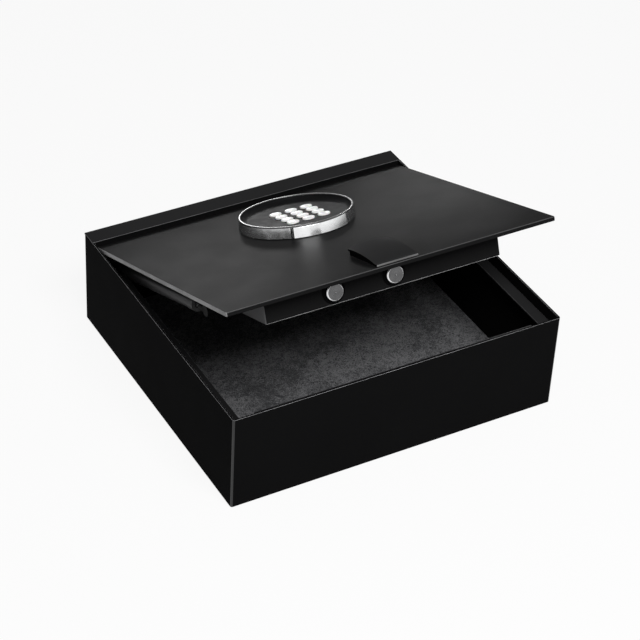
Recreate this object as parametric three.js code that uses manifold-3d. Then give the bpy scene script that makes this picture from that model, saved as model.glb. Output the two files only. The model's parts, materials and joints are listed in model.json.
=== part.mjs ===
// A top-opening strongbox for a car: a folded steel case with a lid that lifts on two
// pivot pins at the back, held by a gas strut on each side. The lid carries a round
// keypad, a finger pull and a sheet-metal lock housing with two motor-driven bolts.
// Millimetres, +Z up, front towards -Y, origin at the middle of the underside.
// The lid is built in its closed place around the pivot axis and then turned open.
import * as THREE from "three";
import { mergeVertices } from "three/addons/utils/BufferGeometryUtils.js";
import Module from "manifold-3d";

const wasm = await Module();
wasm.setup();

// Case
const CASE = { width: 400, depth: 366, height: 118, wall: 2, cornerRadius: 2.5 };
const FIT = 0.3; // clearance between pieces that touch
const HEADER = { sheet: 2, lipDrop: 14, rearDrop: 16 };
const LEDGE = { width: 14, drop: 15, sheet: 2, flange: 13, frontClear: 0.7, bracketGap: 12.8 };
const KEEPER = { sheet: 2, shelf: 10, flange: 14, sideGap: 28, boltClear: 0.7 };
const BUMPER = { depth: 5.4, endInset: 2 };
const FELT = { thickness: 3, edgeGap: 0.5, cornerRadius: 2 };
const ANCHOR = { hole: 10, fromSide: 68, fromEnd: 71, head: 13, headHeight: 0.8, recess: 0.2 };

// Lid and its pivot
const LID = { thickness: 5, sideGap: 1.5, frontGap: 1, cornerRadius: 2, bevel: 0.6, cableHole: 20 };
const PIVOT = { fromBack: 38.5, depth: 10, overhang: 10, headerGap: 6.5 };
const LID_OPEN_AT_REST = THREE.MathUtils.degToRad(21.3);
const PIN = { diameter: 6, hole: 6.6, reach: 16 };
const SIDE_BRACKET = {
  sheet: 2, boss: 9, bossLength: 5, front: 22, back: 8, shoulderFront: 8, shoulderBack: 12, drop: 30,
  neck: 4, neckDepth: 1.8,
};
const EAR = {
  sheet: 3, fromSide: 8, radius: 8, front: 40, back: 6, flangeWidth: 18, flangeSheet: 2,
  web: 16, webDepth: 4.8,
};

// Lock housing and what it holds
const HOUSING = {
  sideInset: 54.5, frontInset: 30, backInset: 28, depth: 30.2, sheet: 1.5, corner: 2.5, edge: 0.5,
};
const BOLT = { diameter: 20, length: 52, shows: 5, centreDepth: 16, chamfer: 1.2, x: [-61, 11] };
const BUSH = { clearance: 0.3, wall: 1.6, flangeWall: 2.8, flange: 1.2, depth: 6 };
const CARRIAGE = { thickness: 10, height: 16, xFrom: -78, pitchLineX: 45, stem: 12, stemLength: 7 };
const GEAR = { teeth: 18, module: 1.25, pressure: THREE.MathUtils.degToRad(20), width: 6, bore: 5 };
const GEAR_FROM_CARRIAGE = 28;
const RACK = { pitchesAhead: 4, pitchesBehind: 8, backlash: 0.2, body: 7 };
const DEDENDUM = 1.25; // tooth depth below the pitch line, in modules
const MOTOR = { width: 34, depth: 28, can: 20, canLength: 26, canShift: 6, shaft: 4.4 };
const BATTERY = { diameter: 14.5, length: 50, edge: 1, nub: 5, nubHeight: 1.2, pitch: 15.6, count: 4 };
const TRAY = { wall: 2, height: 17, fromSide: 37.3, y: -95 };
const BATTERY_COVER = { margin: 5, sheet: 2, corner: 3, edge: 0.5 };
const BOARD = {
  fromSide: 38.5, backGap: 9.5, width: 84, depth: 58, sheet: 1.6,
  standoff: 6, standoffInset: 6, standoffHeight: 4,
};
const CHIP = { size: 18, height: 3 };
const SOCKET = { x: -31, width: 10, length: 24, height: 7 };
const CAPACITOR = { x: 26, y: -8, diameter: 10, height: 9 };

// Keypad
const KEYPAD = {
  radius: 64.5, middleX: 2, height: 14, reach: 99.4, ringWall: 2.3, rimRound: 0.8, rimStep: 0.24,
};
const DISH = { radius: 54, depth: 6.5, rimDrop: 1, sheet: 2, thin: 2.4, legShoulder: 1.4 };
const KEYPAD_BASE = { thickness: 2, edgeGap: 1.2 };
const KEY = { halfX: 7.5, halfY: 5.8, pitchX: 19.4, pitchY: 14.4, proud: 2.5, clear: 0.4 };
const KEY_BLOCK = { right: 3, forward: 2 }; // the keys' middle, off the middle of the ring
const KEY_FLANGE = { ratio: 1.16, thickness: 1.3 };
const KEY_DOME = [[1, 1.1], [0.93, 0.5], [0.75, 0.15], [0, 0]]; // share of the width, drop from the top
const COVER = { halfAngle: THREE.MathUtils.degToRad(26.8), groove: 2.2, rimLeft: 1.7, innerGap: 0.2 };
const CONTACTS = {
  width: 22, depth: 3.4, height: 3.8, stud: 3, studReach: 0.9, spacing: 12, ringGap: 1.4,
};

// Finger pull
const PULL = {
  halfWidth: 24.7, middleX: 3.7, length: 64.5, sheet: 2, foot: 4, rise: 6.4,
  bulge: 2.8, crown: 3, corner: 5, frontInset: 3, strips: 8, steps: 9,
};

// Gas struts, in the plane of one side
const STRUT = {
  fromSide: 23, lowerForward: 9.5, lowerDepth: 18, upperReach: 232.5, upperDepth: 14,
  tube: 14, collar: 15.4, collarLength: 14, rod: 7, rodShare: 0.55, bore: 7.8, capEnd: 27.5,
  eyeWidth: 10, eyeRadius: 8, upperEyeRadius: 6.5, socket: 10, socketLength: 18, endGap: 0.4,
};
const STRUT_STUD = { head: 9, headLength: 1.6 };
const STRUT_BRACKET = { sheet: 2.5, half: 12, flange: 12, flangeSheet: 2, shoulder: 4 };

// Places worked out from the sizes above
const halfW = CASE.width / 2;
const halfD = CASE.depth / 2;
const innerX = halfW - CASE.wall;
const innerFront = -halfD + CASE.wall;
const axisY = halfD - PIVOT.fromBack;
const axisZ = CASE.height - PIVOT.depth;
const lidTop = PIVOT.depth;
const lidUnder = lidTop - LID.thickness;
const lidFront = innerFront + LID.frontGap - axisY;
const lidHalfW = innerX - LID.sideGap;
const anchorX = innerX - ANCHOR.fromSide;
const anchorY = -innerFront - ANCHOR.fromEnd;
const strutX = innerX - STRUT.fromSide;
const strutY = axisY - STRUT.lowerForward;
const strutZ = axisZ - STRUT.lowerDepth;
const headerFront = axisY + PIVOT.overhang + PIVOT.headerGap;
const housingHalfX = lidHalfW - HOUSING.sideInset;
const housingInnerX = housingHalfX - HOUSING.sheet;
const housingFront = lidFront + HOUSING.frontInset;
const housingTop = lidUnder - FIT;
const housingUnder = housingTop - HOUSING.depth;
const housingFloor = housingUnder + HOUSING.sheet;
const boltZ = lidUnder - BOLT.centreDepth;
const boltTip = housingFront - BOLT.shows;
const gearRadius = (GEAR.teeth * GEAR.module) / 2;
const carriageY = boltTip + BOLT.length + CARRIAGE.stemLength;

const FINISH = {
  powder: { color: 0x141415, roughness: 0.55, metalness: 0.1 },
  steel: { color: 0x2a2a2b, roughness: 0.5, metalness: 0.6 },
  zinc: { color: 0x9a9a9c, roughness: 0.35, metalness: 0.9 },
  chrome: { color: 0xd8d8da, roughness: 0.08, metalness: 1 },
  felt: { color: 0x3a3a3c, roughness: 1, metalness: 0 },
  rubber: { color: 0x161616, roughness: 0.9, metalness: 0 },
  plastic: { color: 0x1c1c1d, roughness: 0.4, metalness: 0 },
  white: { color: 0xf2f2f0, roughness: 0.35, metalness: 0 },
  board: { color: 0x1f5a34, roughness: 0.5, metalness: 0 },
  cell: { color: 0x6a5a3a, roughness: 0.4, metalness: 0.5 },
};

// Solids in and out of the boolean library
function solid(geometry) {
  const bare = geometry.index ? geometry.toNonIndexed() : geometry.clone();
  bare.deleteAttribute("normal");
  bare.deleteAttribute("uv");
  const merged = mergeVertices(bare, 1e-4);
  return new wasm.Manifold(
    new wasm.Mesh({
      numProp: 3,
      vertProperties: Float32Array.from(merged.attributes.position.array),
      triVerts: Uint32Array.from(merged.index.array),
    }),
  );
}

function geometryOf(body) {
  const mesh = body.getMesh();
  const geometry = new THREE.BufferGeometry();
  geometry.setAttribute("position", new THREE.BufferAttribute(mesh.vertProperties, 3));
  geometry.setIndex(new THREE.BufferAttribute(mesh.triVerts, 1));
  const flat = geometry.toNonIndexed();
  flat.computeVertexNormals();
  return flat;
}

function join(...bodies) {
  return bodies.reduce((sum, body) => sum.add(body));
}

function cut(body, ...tools) {
  return tools.reduce((rest, tool) => rest.subtract(tool), body);
}

// A box between two opposite corners
function block(x0, x1, y0, y1, z0, z1) {
  const box = new THREE.BoxGeometry(x1 - x0, y1 - y0, z1 - z0);
  return solid(box.translate((x0 + x1) / 2, (y0 + y1) / 2, (z0 + z1) / 2));
}

// A cylinder along "x", "y" or "z", from one station to another on that axis
function rod(axis, diameter, from, to, a, b, segments = 32) {
  const shape = new THREE.CylinderGeometry(diameter / 2, diameter / 2, to - from, segments);
  const middle = (from + to) / 2;
  if (axis === "x") shape.rotateZ(-Math.PI / 2).translate(middle, a, b);
  if (axis === "y") shape.translate(a, middle, b);
  if (axis === "z") shape.rotateX(Math.PI / 2).translate(a, b, middle);
  return solid(shape);
}

function roundedRectangle(x0, x1, y0, y1, radius) {
  const shape = new THREE.Shape();
  shape.moveTo(x0 + radius, y0);
  shape.lineTo(x1 - radius, y0);
  shape.absarc(x1 - radius, y0 + radius, radius, -Math.PI / 2, 0);
  shape.lineTo(x1, y1 - radius);
  shape.absarc(x1 - radius, y1 - radius, radius, 0, Math.PI / 2);
  shape.lineTo(x0 + radius, y1);
  shape.absarc(x0 + radius, y1 - radius, radius, Math.PI / 2, Math.PI);
  shape.lineTo(x0, y0 + radius);
  shape.absarc(x0 + radius, y0 + radius, radius, Math.PI, Math.PI * 1.5);
  return shape;
}

// An outline in X and Y raised from z0 to z1, with chamfered edges where bevel is given
function raised(shape, z0, z1, bevel = 0, curveSegments = 4) {
  const extruded = new THREE.ExtrudeGeometry(shape, {
    depth: z1 - z0 - 2 * bevel,
    bevelEnabled: bevel > 0,
    bevelThickness: bevel,
    bevelSize: bevel,
    bevelOffset: -bevel,
    bevelSegments: 1,
    curveSegments,
  });
  return solid(extruded.translate(0, 0, z0 + bevel));
}

// An outline in Y and Z drawn out along X
function extrusionAlongX(points, x0, x1, steps = 1) {
  const outline = new THREE.Shape(points.map(([y, z]) => new THREE.Vector2(y, z)));
  const options = { depth: x1 - x0, steps, bevelEnabled: false };
  const extruded = new THREE.ExtrudeGeometry(outline, options);
  return extruded.applyMatrix4(new THREE.Matrix4().set(0, 0, 1, x0, 1, 0, 0, 0, 0, 1, 0, 0, 0, 0, 0, 1));
}

function drawnAlongX(points, x0, x1) {
  return solid(extrusionAlongX(points, x0, x1));
}

// A profile of radius and height turned about Z, closed on the axis or on itself
function turned(profile, segments = 48) {
  const points = profile.map(([radius, height]) => new THREE.Vector2(radius, height));
  return solid(new THREE.LatheGeometry(points, segments).rotateX(Math.PI / 2));
}

// The same, turned about an axis along Y at x and z
function turnedAlongY(profile, x, z, segments = 24) {
  const points = profile.map(([radius, y]) => new THREE.Vector2(radius, y));
  return solid(new THREE.LatheGeometry(points, segments)).translate([x, 0, z]);
}

const root = new THREE.Group();
const lid = new THREE.Group();
lid.position.set(0, axisY, axisZ);
lid.rotation.x = -LID_OPEN_AT_REST;
root.add(lid);
const keypad = new THREE.Group();
keypad.position.set(KEYPAD.middleX, -KEYPAD.reach, lidTop);
lid.add(keypad);

function place(name, body, finish, parent = root) {
  const mesh = new THREE.Mesh(geometryOf(body), new THREE.MeshStandardMaterial(FINISH[finish]));
  mesh.name = name;
  parent.add(mesh);
  return mesh;
}

const SIDES = [["left", -1], ["right", 1]];

// A box or plate given from the side wall inwards, on either side of the case
function sideBlock(side, fromWall, toWall, y0, y1, z0, z1, reference = innerX) {
  const a = side * (reference - fromWall);
  const b = side * (reference - toWall);
  return block(Math.min(a, b), Math.max(a, b), y0, y1, z0, z1);
}

// Case: floor and four walls folded from one sheet, lower at the back for the header
function caseShell() {
  const outer = roundedRectangle(-halfW, halfW, -halfD, halfD, CASE.cornerRadius);
  const innerRadius = CASE.cornerRadius - CASE.wall + FIT;
  const inner = roundedRectangle(-innerX, innerX, innerFront, -innerFront, innerRadius);
  let shell = raised(outer, 0, CASE.height);
  shell = cut(shell, raised(inner, CASE.wall, CASE.height + 1));
  const seat = CASE.height - HEADER.sheet - FIT;
  const over = halfW + 1;
  shell = cut(shell, block(-over, over, headerFront - FIT, halfD + 1, seat, CASE.height + 1));
  for (const x of [-anchorX, anchorX])
    for (const y of [-anchorY, anchorY])
      shell = cut(shell, rod("z", ANCHOR.hole, -1, CASE.wall + 1, x, y, 16));
  return shell;
}

// Header: a channel over the back of the case that hides the pivot
function rearHeader() {
  const top = CASE.height;
  const under = top - HEADER.sheet;
  const lipEnd = innerX - FIT;
  const rear = -innerFront - FIT;
  const strip = block(-halfW, halfW, headerFront, halfD, under, top);
  const lip = block(-lipEnd, lipEnd, headerFront, headerFront + HEADER.sheet, under - HEADER.lipDrop, top);
  const back = block(-lipEnd, lipEnd, rear - HEADER.sheet, rear, under - HEADER.rearDrop, top);
  return join(strip, lip, back);
}

// Ledge: an angle along each side wall, below the lid
function ledge(side) {
  const top = CASE.height - LEDGE.drop;
  const y0 = innerFront + LEDGE.frontClear;
  const y1 = axisY - SIDE_BRACKET.front - LEDGE.bracketGap;
  const shelf = sideBlock(side, FIT, LEDGE.width, y0, y1, top - LEDGE.sheet, top);
  const flange = sideBlock(side, FIT, FIT + LEDGE.sheet, y0, y1, top - LEDGE.flange, top);
  return join(shelf, flange);
}

// Keeper: an angle inside the front wall; the bolts run out beneath its shelf
const keeperUnder = axisZ + boltZ + BOLT.diameter / 2 + KEEPER.boltClear;
const keeperEnd = innerX - KEEPER.sideGap;
function frontKeeper() {
  const y0 = innerFront + FIT;
  const top = keeperUnder + KEEPER.sheet;
  const profile = [
    [y0, top], [y0, keeperUnder - KEEPER.flange],
    [y0 + KEEPER.sheet, keeperUnder - KEEPER.flange], [y0 + KEEPER.sheet, keeperUnder],
    [y0 + KEEPER.shelf, keeperUnder], [y0 + KEEPER.shelf, top],
  ];
  return drawnAlongX(profile, -keeperEnd, keeperEnd);
}

// Bumper: the rubber strip that the closed lid rests on
function frontBumper() {
  const y0 = innerFront + 2 * FIT;
  const z0 = keeperUnder + KEEPER.sheet + FIT;
  const z1 = axisZ + lidUnder - FIT;
  const half = keeperEnd - BUMPER.endInset;
  const round = (z1 - z0) / 3;
  const profile = [
    [y0, z0], [y0 + BUMPER.depth, z0], [y0 + BUMPER.depth, z1 - round],
    [y0 + BUMPER.depth - round, z1], [y0 + round, z1], [y0, z1 - round],
  ];
  return drawnAlongX(profile, -half, half);
}

// Felt lining on the floor, with a pocket beneath for each plug's head
function feltFloor() {
  const x = innerX - FELT.edgeGap;
  const y = -innerFront - FELT.edgeGap;
  const z0 = CASE.wall + FIT;
  let felt = raised(roundedRectangle(-x, x, -y, y, FELT.cornerRadius), z0, z0 + FELT.thickness, 0, 3);
  for (const px of [-anchorX, anchorX])
    for (const py of [-anchorY, anchorY]) {
      const pocket = z0 + ANCHOR.headHeight + 2 * FIT;
      felt = cut(felt, rod("z", ANCHOR.head + 4 * FIT, z0 - 1, pocket, px, py, 12));
    }
  return felt;
}

// Plug that closes a bolt-down hole in the floor
function holePlug(x, y) {
  const stem = ANCHOR.hole / 2 - FIT;
  const seat = CASE.wall + FIT;
  const head = ANCHOR.head / 2;
  const top = seat + ANCHOR.headHeight;
  const profile = [
    [0, ANCHOR.recess], [stem, ANCHOR.recess], [stem, seat],
    [head, seat], [head - FIT, top], [0, top],
  ];
  return turned(profile, 16).translate([x, y, 0]);
}

place("case_shell", caseShell(), "powder");
place("rear_header", rearHeader(), "powder");
place("front_keeper", frontKeeper(), "steel");
place("front_bumper", frontBumper(), "rubber");
place("felt_floor", feltFloor(), "felt");
for (const [row, y] of [["front", -anchorY], ["rear", anchorY]])
  for (const [name, side] of SIDES)
    place(`hole_plug_${row}_${name}`, holePlug(side * anchorX, y), "plastic");
for (const [name, side] of SIDES) place(`ledge_${name}`, ledge(side), "powder");

// Side bracket: a plate on each side wall with the boss for the lid's pivot pin and the
// hole for the strut's stud. It keeps below the path of the lid's back edge.
function sideBracket(side) {
  const r = SIDE_BRACKET.boss / 2;
  const { front, back, shoulderFront, shoulderBack, drop } = SIDE_BRACKET;
  const web = [
    [-r, 0], [-front, -shoulderFront], [-front, -drop],
    [back, -drop], [back, -shoulderBack], [SIDE_BRACKET.neck, -SIDE_BRACKET.neckDepth],
  ];
  const x0 = side * (innerX - FIT);
  const x1 = x0 - side * SIDE_BRACKET.sheet;
  const x2 = x1 - side * SIDE_BRACKET.bossLength;
  const plate = drawnAlongX(web, Math.min(x0, x1), Math.max(x0, x1));
  const boss = rod("x", SIDE_BRACKET.boss, Math.min(x0, x2), Math.max(x0, x2), 0, 0, 24);
  const pinHole = rod("x", PIN.hole, -halfW, halfW, 0, 0, 24);
  const studHole = rod("x", PIN.hole, -halfW, halfW, -STRUT.lowerForward, -STRUT.lowerDepth, 20);
  return cut(join(plate, boss), pinHole, studHole).translate([0, axisY, axisZ]);
}

function pivotPin(side) {
  const x0 = side * (innerX - 2 * FIT);
  const x1 = x0 - side * PIN.reach;
  return rod("x", PIN.diameter, Math.min(x0, x1), Math.max(x0, x1), axisY, axisZ, 24);
}

function lidEar(side) {
  const top = lidUnder - FIT;
  const outline = new THREE.Shape();
  outline.moveTo(-EAR.front, top);
  outline.lineTo(-EAR.front, top - EAR.flangeSheet);
  outline.lineTo(-EAR.web, -EAR.webDepth);
  outline.absarc(0, 0, EAR.radius, Math.PI * 1.25, Math.PI * 2);
  outline.lineTo(EAR.back, top);
  const x0 = innerX - EAR.fromSide - EAR.sheet;
  const points = outline.getPoints(6).map((p) => [p.x, p.y]);
  const outer = side * (x0 + EAR.sheet);
  const inner = side * x0;
  const edge = side * (x0 - EAR.flangeWidth);
  const plate = drawnAlongX(points, Math.min(outer, inner), Math.max(outer, inner));
  const flangeX = [Math.min(outer, edge), Math.max(outer, edge)];
  const flange = block(...flangeX, -EAR.front, -EAR.radius, top - EAR.flangeSheet, top);
  return cut(join(plate, flange), rod("x", PIN.hole, -halfW, halfW, 0, 0, 24));
}

for (const [name, side] of SIDES) {
  place(`side_bracket_${name}`, sideBracket(side), "steel");
  place(`pivot_pin_${name}`, pivotPin(side), "zinc");
  place(`lid_ear_${name}`, lidEar(side), "steel", lid);
}

// Lid plate: a thick flat plate with a hole for the keypad's cable
function lidPlate() {
  const outline = roundedRectangle(-lidHalfW, lidHalfW, lidFront, PIVOT.overhang, LID.cornerRadius);
  const plate = raised(outline, lidUnder, lidTop, LID.bevel);
  const hole = rod("z", LID.cableHole, lidUnder - 1, lidTop + 1, KEYPAD.middleX, -KEYPAD.reach, 24);
  return cut(plate, hole);
}

// Battery bay: cells side by side in a tray that opens through the housing's floor
const bayHalfX = (BATTERY.pitch * BATTERY.count) / 2 + TRAY.wall;
const bayHalfY = (BATTERY.length + BATTERY.nubHeight) / 2 + FIT + TRAY.wall;
const trayX = TRAY.fromSide + bayHalfX - housingInnerX;

// Lock housing: a shallow pan under the lid, holed in front for the bolts
function lockHousing() {
  const w = housingHalfX;
  const back = -HOUSING.backInset;
  const t = HOUSING.sheet;
  const outer = roundedRectangle(-w, w, housingFront, back, HOUSING.corner);
  const inner = roundedRectangle(-w + t, w - t, housingFront + t, back - t, HOUSING.corner - t);
  let pan = raised(outer, housingUnder, housingTop, HOUSING.edge);
  pan = cut(pan, raised(inner, housingFloor, housingTop + 1));
  const opening = BOLT.diameter + 2 * BUSH.clearance + 2 * BUSH.wall + 2 * FIT;
  for (const x of BOLT.x)
    pan = cut(pan, rod("y", opening, housingFront - 1, housingFront + t + 1, x, boltZ, 24));
  const bay = block(
    trayX - bayHalfX + TRAY.wall, trayX + bayHalfX - TRAY.wall,
    TRAY.y - bayHalfY + TRAY.wall, TRAY.y + bayHalfY - TRAY.wall,
    housingUnder - 1, housingFloor + 1,
  );
  return cut(pan, bay);
}

// Finger pull: a leaf fixed along its front edge and open behind. It rises in a curve,
// and its back edge is arched across its width.
function fingerPull() {
  const front = lidFront + PULL.frontInset;
  const foot = lidTop + FIT;
  const start = new THREE.Vector2(front + PULL.foot, foot + PULL.sheet);
  const end = new THREE.Vector2(front + PULL.length, foot + PULL.rise);
  const chord = end.clone().sub(start);
  const normal = new THREE.Vector2(-chord.y, chord.x).normalize();
  const upper = [];
  const lower = [];
  for (let i = 0; i <= PULL.steps; i += 1) {
    const t = i / PULL.steps;
    const bulge = 4 * PULL.bulge * t * (1 - t);
    const p = start.clone().addScaledVector(chord, t).addScaledVector(normal, bulge);
    const slope = chord.clone().addScaledVector(normal, 4 * PULL.bulge * (1 - 2 * t)).normalize();
    upper.push([p.x, p.y]);
    lower.push([p.x + slope.y * PULL.sheet, p.y - slope.x * PULL.sheet]);
  }
  lower[0] = [start.x + PULL.sheet, foot];
  const profile = [[front, foot], ...lower, ...upper.reverse(), [front, foot + PULL.sheet]];
  const left = PULL.middleX - PULL.halfWidth;
  const right = PULL.middleX + PULL.halfWidth;
  const leaf = extrusionAlongX(profile, left, right, PULL.strips);
  const points = leaf.attributes.position;
  for (let i = 0; i < points.count; i += 1) {
    const across = (points.getX(i) - PULL.middleX) / PULL.halfWidth;
    const along = Math.max(0, (points.getY(i) - start.x) / (PULL.length - PULL.foot));
    points.setZ(i, points.getZ(i) + PULL.crown * (1 - across * across) * along * along);
  }
  const over = PULL.corner + PULL.sheet;
  const outline = roundedRectangle(left, right, front - over, end.x, PULL.corner);
  return solid(leaf).intersect(raised(outline, 0, lidTop + PULL.rise + PULL.bulge + PULL.crown + 1));
}

place("lid_plate", lidPlate(), "powder", lid);
place("lock_housing", lockHousing(), "powder", lid);
place("finger_pull", fingerPull(), "powder", lid);

// Bolts, the bushes that guide them and the carriage that joins them
function bolt(x) {
  const r = BOLT.diameter / 2;
  const stem = CARRIAGE.stem / 2;
  const end = boltTip + BOLT.length;
  const profile = [
    [0, boltTip], [r - BOLT.chamfer, boltTip], [r, boltTip + BOLT.chamfer], [r, end],
    [stem, end], [stem, carriageY + CARRIAGE.thickness / 2], [0, carriageY + CARRIAGE.thickness / 2],
  ];
  return turnedAlongY(profile, x, boltZ);
}

function boltBush(x) {
  const bore = BOLT.diameter / 2 + BUSH.clearance;
  const body = bore + BUSH.wall;
  const flange = bore + BUSH.flangeWall;
  const face = housingFront - FIT;
  const back = housingFront + HOUSING.sheet + BUSH.depth;
  const profile = [
    [bore, face - BUSH.flange], [flange - FIT, face - BUSH.flange], [flange, face - BUSH.flange + FIT],
    [flange, face], [body, face], [body, back], [bore, back], [bore, face - BUSH.flange],
  ];
  return turnedAlongY(profile, x, boltZ);
}

// One tooth space of involute points around the gear, all teeth in a loop
function gearOutline() {
  const base = gearRadius * Math.cos(GEAR.pressure);
  const tip = gearRadius + GEAR.module;
  const rootR = gearRadius - DEDENDUM * GEAR.module;
  const involute = (radius) => {
    const angle = Math.acos(Math.min(1, base / radius));
    return Math.tan(angle) - angle;
  };
  const halfTooth = Math.PI / (2 * GEAR.teeth) - RACK.backlash / gearRadius / 2 + involute(gearRadius);
  const outline = [];
  for (let tooth = 0; tooth < GEAR.teeth; tooth += 1) {
    const centre = (2 * Math.PI * tooth) / GEAR.teeth;
    const flank = [];
    for (const radius of [Math.max(rootR, base), gearRadius, tip])
      flank.push([radius, halfTooth - involute(radius)]);
    outline.push([rootR, centre - halfTooth]);
    for (const [radius, half] of flank) outline.push([radius, centre - half]);
    for (const [radius, half] of flank.reverse()) outline.push([radius, centre + half]);
    outline.push([rootR, centre + halfTooth]);
  }
  return outline.map(([r, a]) => new THREE.Vector2(r * Math.cos(a), r * Math.sin(a)));
}

const toothPitch = Math.PI * GEAR.module;
const gearX = CARRIAGE.pitchLineX + gearRadius;
const gearY = carriageY + GEAR_FROM_CARRIAGE;
const gearZ = boltZ - GEAR.width / 2;

function drivePinion() {
  const gear = raised(new THREE.Shape(gearOutline()), 0, GEAR.width);
  return cut(gear, rod("z", GEAR.bore, -1, GEAR.width + 1, 0, 0, 20));
}

// The rack is level with the pinion, and a gap between two of its teeth faces the pinion
function rack(fromY) {
  const rootX = CARRIAGE.pitchLineX - DEDENDUM * GEAR.module;
  const tipX = CARRIAGE.pitchLineX + GEAR.module;
  const lean = Math.tan(GEAR.pressure);
  const pitchHalf = toothPitch / 4 - RACK.backlash / 2;
  const tipHalf = pitchHalf - GEAR.module * lean;
  const rootHalf = pitchHalf + DEDENDUM * GEAR.module * lean;
  const end = gearY + RACK.pitchesBehind * toothPitch;
  const outline = [new THREE.Vector2(rootX - RACK.body, fromY), new THREE.Vector2(rootX, fromY)];
  for (let i = -RACK.pitchesAhead; i < RACK.pitchesBehind; i += 1) {
    const y = gearY + (i + 0.5) * toothPitch;
    outline.push(new THREE.Vector2(rootX, y - rootHalf), new THREE.Vector2(tipX, y - tipHalf));
    outline.push(new THREE.Vector2(tipX, y + tipHalf), new THREE.Vector2(rootX, y + rootHalf));
  }
  outline.push(new THREE.Vector2(rootX, end), new THREE.Vector2(rootX - RACK.body, end));
  return raised(new THREE.Shape(outline), gearZ, gearZ + GEAR.width);
}

// Carriage: a bar across both bolts' stems with the rack running back from it
function boltCarriage() {
  const z0 = boltZ - CARRIAGE.height / 2;
  const back = carriageY + CARRIAGE.thickness;
  const right = CARRIAGE.pitchLineX - GEAR.module;
  const bar = block(CARRIAGE.xFrom, right, carriageY, back, z0, z0 + CARRIAGE.height);
  const holes = BOLT.x.map((x) => rod("y", CARRIAGE.stem + 2 * FIT, carriageY - 1, back + 1, x, boltZ, 24));
  return cut(join(bar, rack(back - 1)), ...holes);
}

// Motor and gearbox on the housing's floor, with the shaft up through the pinion
function gearMotor() {
  const z0 = housingFloor + FIT;
  const z1 = gearZ - FIT;
  const back = gearY + MOTOR.depth / 2;
  const left = gearX - MOTOR.width / 2;
  const box = block(left, left + MOTOR.width, back - MOTOR.depth, back, z0, z1);
  const canX = gearX + MOTOR.canShift;
  const can = rod("y", MOTOR.can, back - 1, back + MOTOR.canLength, canX, z0 + MOTOR.can / 2, 28);
  const shaft = rod("z", MOTOR.shaft, z1 - 1, gearZ + GEAR.width + 1, gearX, gearY, 16);
  return join(box, can, shaft);
}

for (const [i, name] of ["left", "right"].entries()) {
  place(`bolt_${name}`, bolt(BOLT.x[i]), "chrome", lid);
  place(`bolt_bush_${name}`, boltBush(BOLT.x[i]), "plastic", lid);
}
place("bolt_carriage", boltCarriage(), "zinc", lid);
place("gear_motor", gearMotor(), "zinc", lid);
place("drive_pinion", drivePinion(), "zinc", lid).position.set(gearX, gearY, gearZ);

// Battery tray, cells and the cover under the housing
const batteryZ = housingUnder + BATTERY.diameter / 2 + FIT;
function cellX(index) {
  return trayX + (index - (BATTERY.count - 1) / 2) * BATTERY.pitch;
}

function batteryTray() {
  const z0 = housingFloor + FIT;
  const z1 = z0 + TRAY.height;
  let tray = block(
    trayX - bayHalfX, trayX + bayHalfX, TRAY.y - bayHalfY, TRAY.y + bayHalfY, z0, z1,
  );
  const y0 = TRAY.y - bayHalfY + TRAY.wall;
  const y1 = TRAY.y + bayHalfY - TRAY.wall;
  const r = BATTERY.diameter / 2 + FIT;
  for (let i = 0; i < BATTERY.count; i += 1) {
    const x = cellX(i);
    const trough = block(x - r, x + r, y0, y1, z0 - 1, batteryZ);
    tray = cut(tray, rod("y", 2 * r, y0, y1, x, batteryZ, 24), trough);
  }
  return tray;
}

function batteryCell(index) {
  const r = BATTERY.diameter / 2;
  const { edge } = BATTERY;
  const y0 = TRAY.y - (BATTERY.length + BATTERY.nubHeight) / 2;
  const y1 = y0 + BATTERY.length;
  const profile = [
    [0, y0], [r - edge, y0], [r, y0 + edge], [r, y1 - edge], [r - edge, y1],
    [BATTERY.nub / 2, y1], [BATTERY.nub / 2, y1 + BATTERY.nubHeight], [0, y1 + BATTERY.nubHeight],
  ];
  return turnedAlongY(profile, cellX(index), batteryZ, 14);
}

function batteryCover() {
  const x = bayHalfX + BATTERY_COVER.margin;
  const y = bayHalfY + BATTERY_COVER.margin;
  const top = housingUnder - FIT;
  const shape = roundedRectangle(trayX - x, trayX + x, TRAY.y - y, TRAY.y + y, BATTERY_COVER.corner);
  return raised(shape, top - BATTERY_COVER.sheet, top, BATTERY_COVER.edge);
}

place("battery_tray", batteryTray(), "plastic", lid);
for (let i = 0; i < BATTERY.count; i += 1) place(`battery_${i + 1}`, batteryCell(i), "cell", lid);
place("battery_cover", batteryCover(), "powder", lid);

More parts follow.
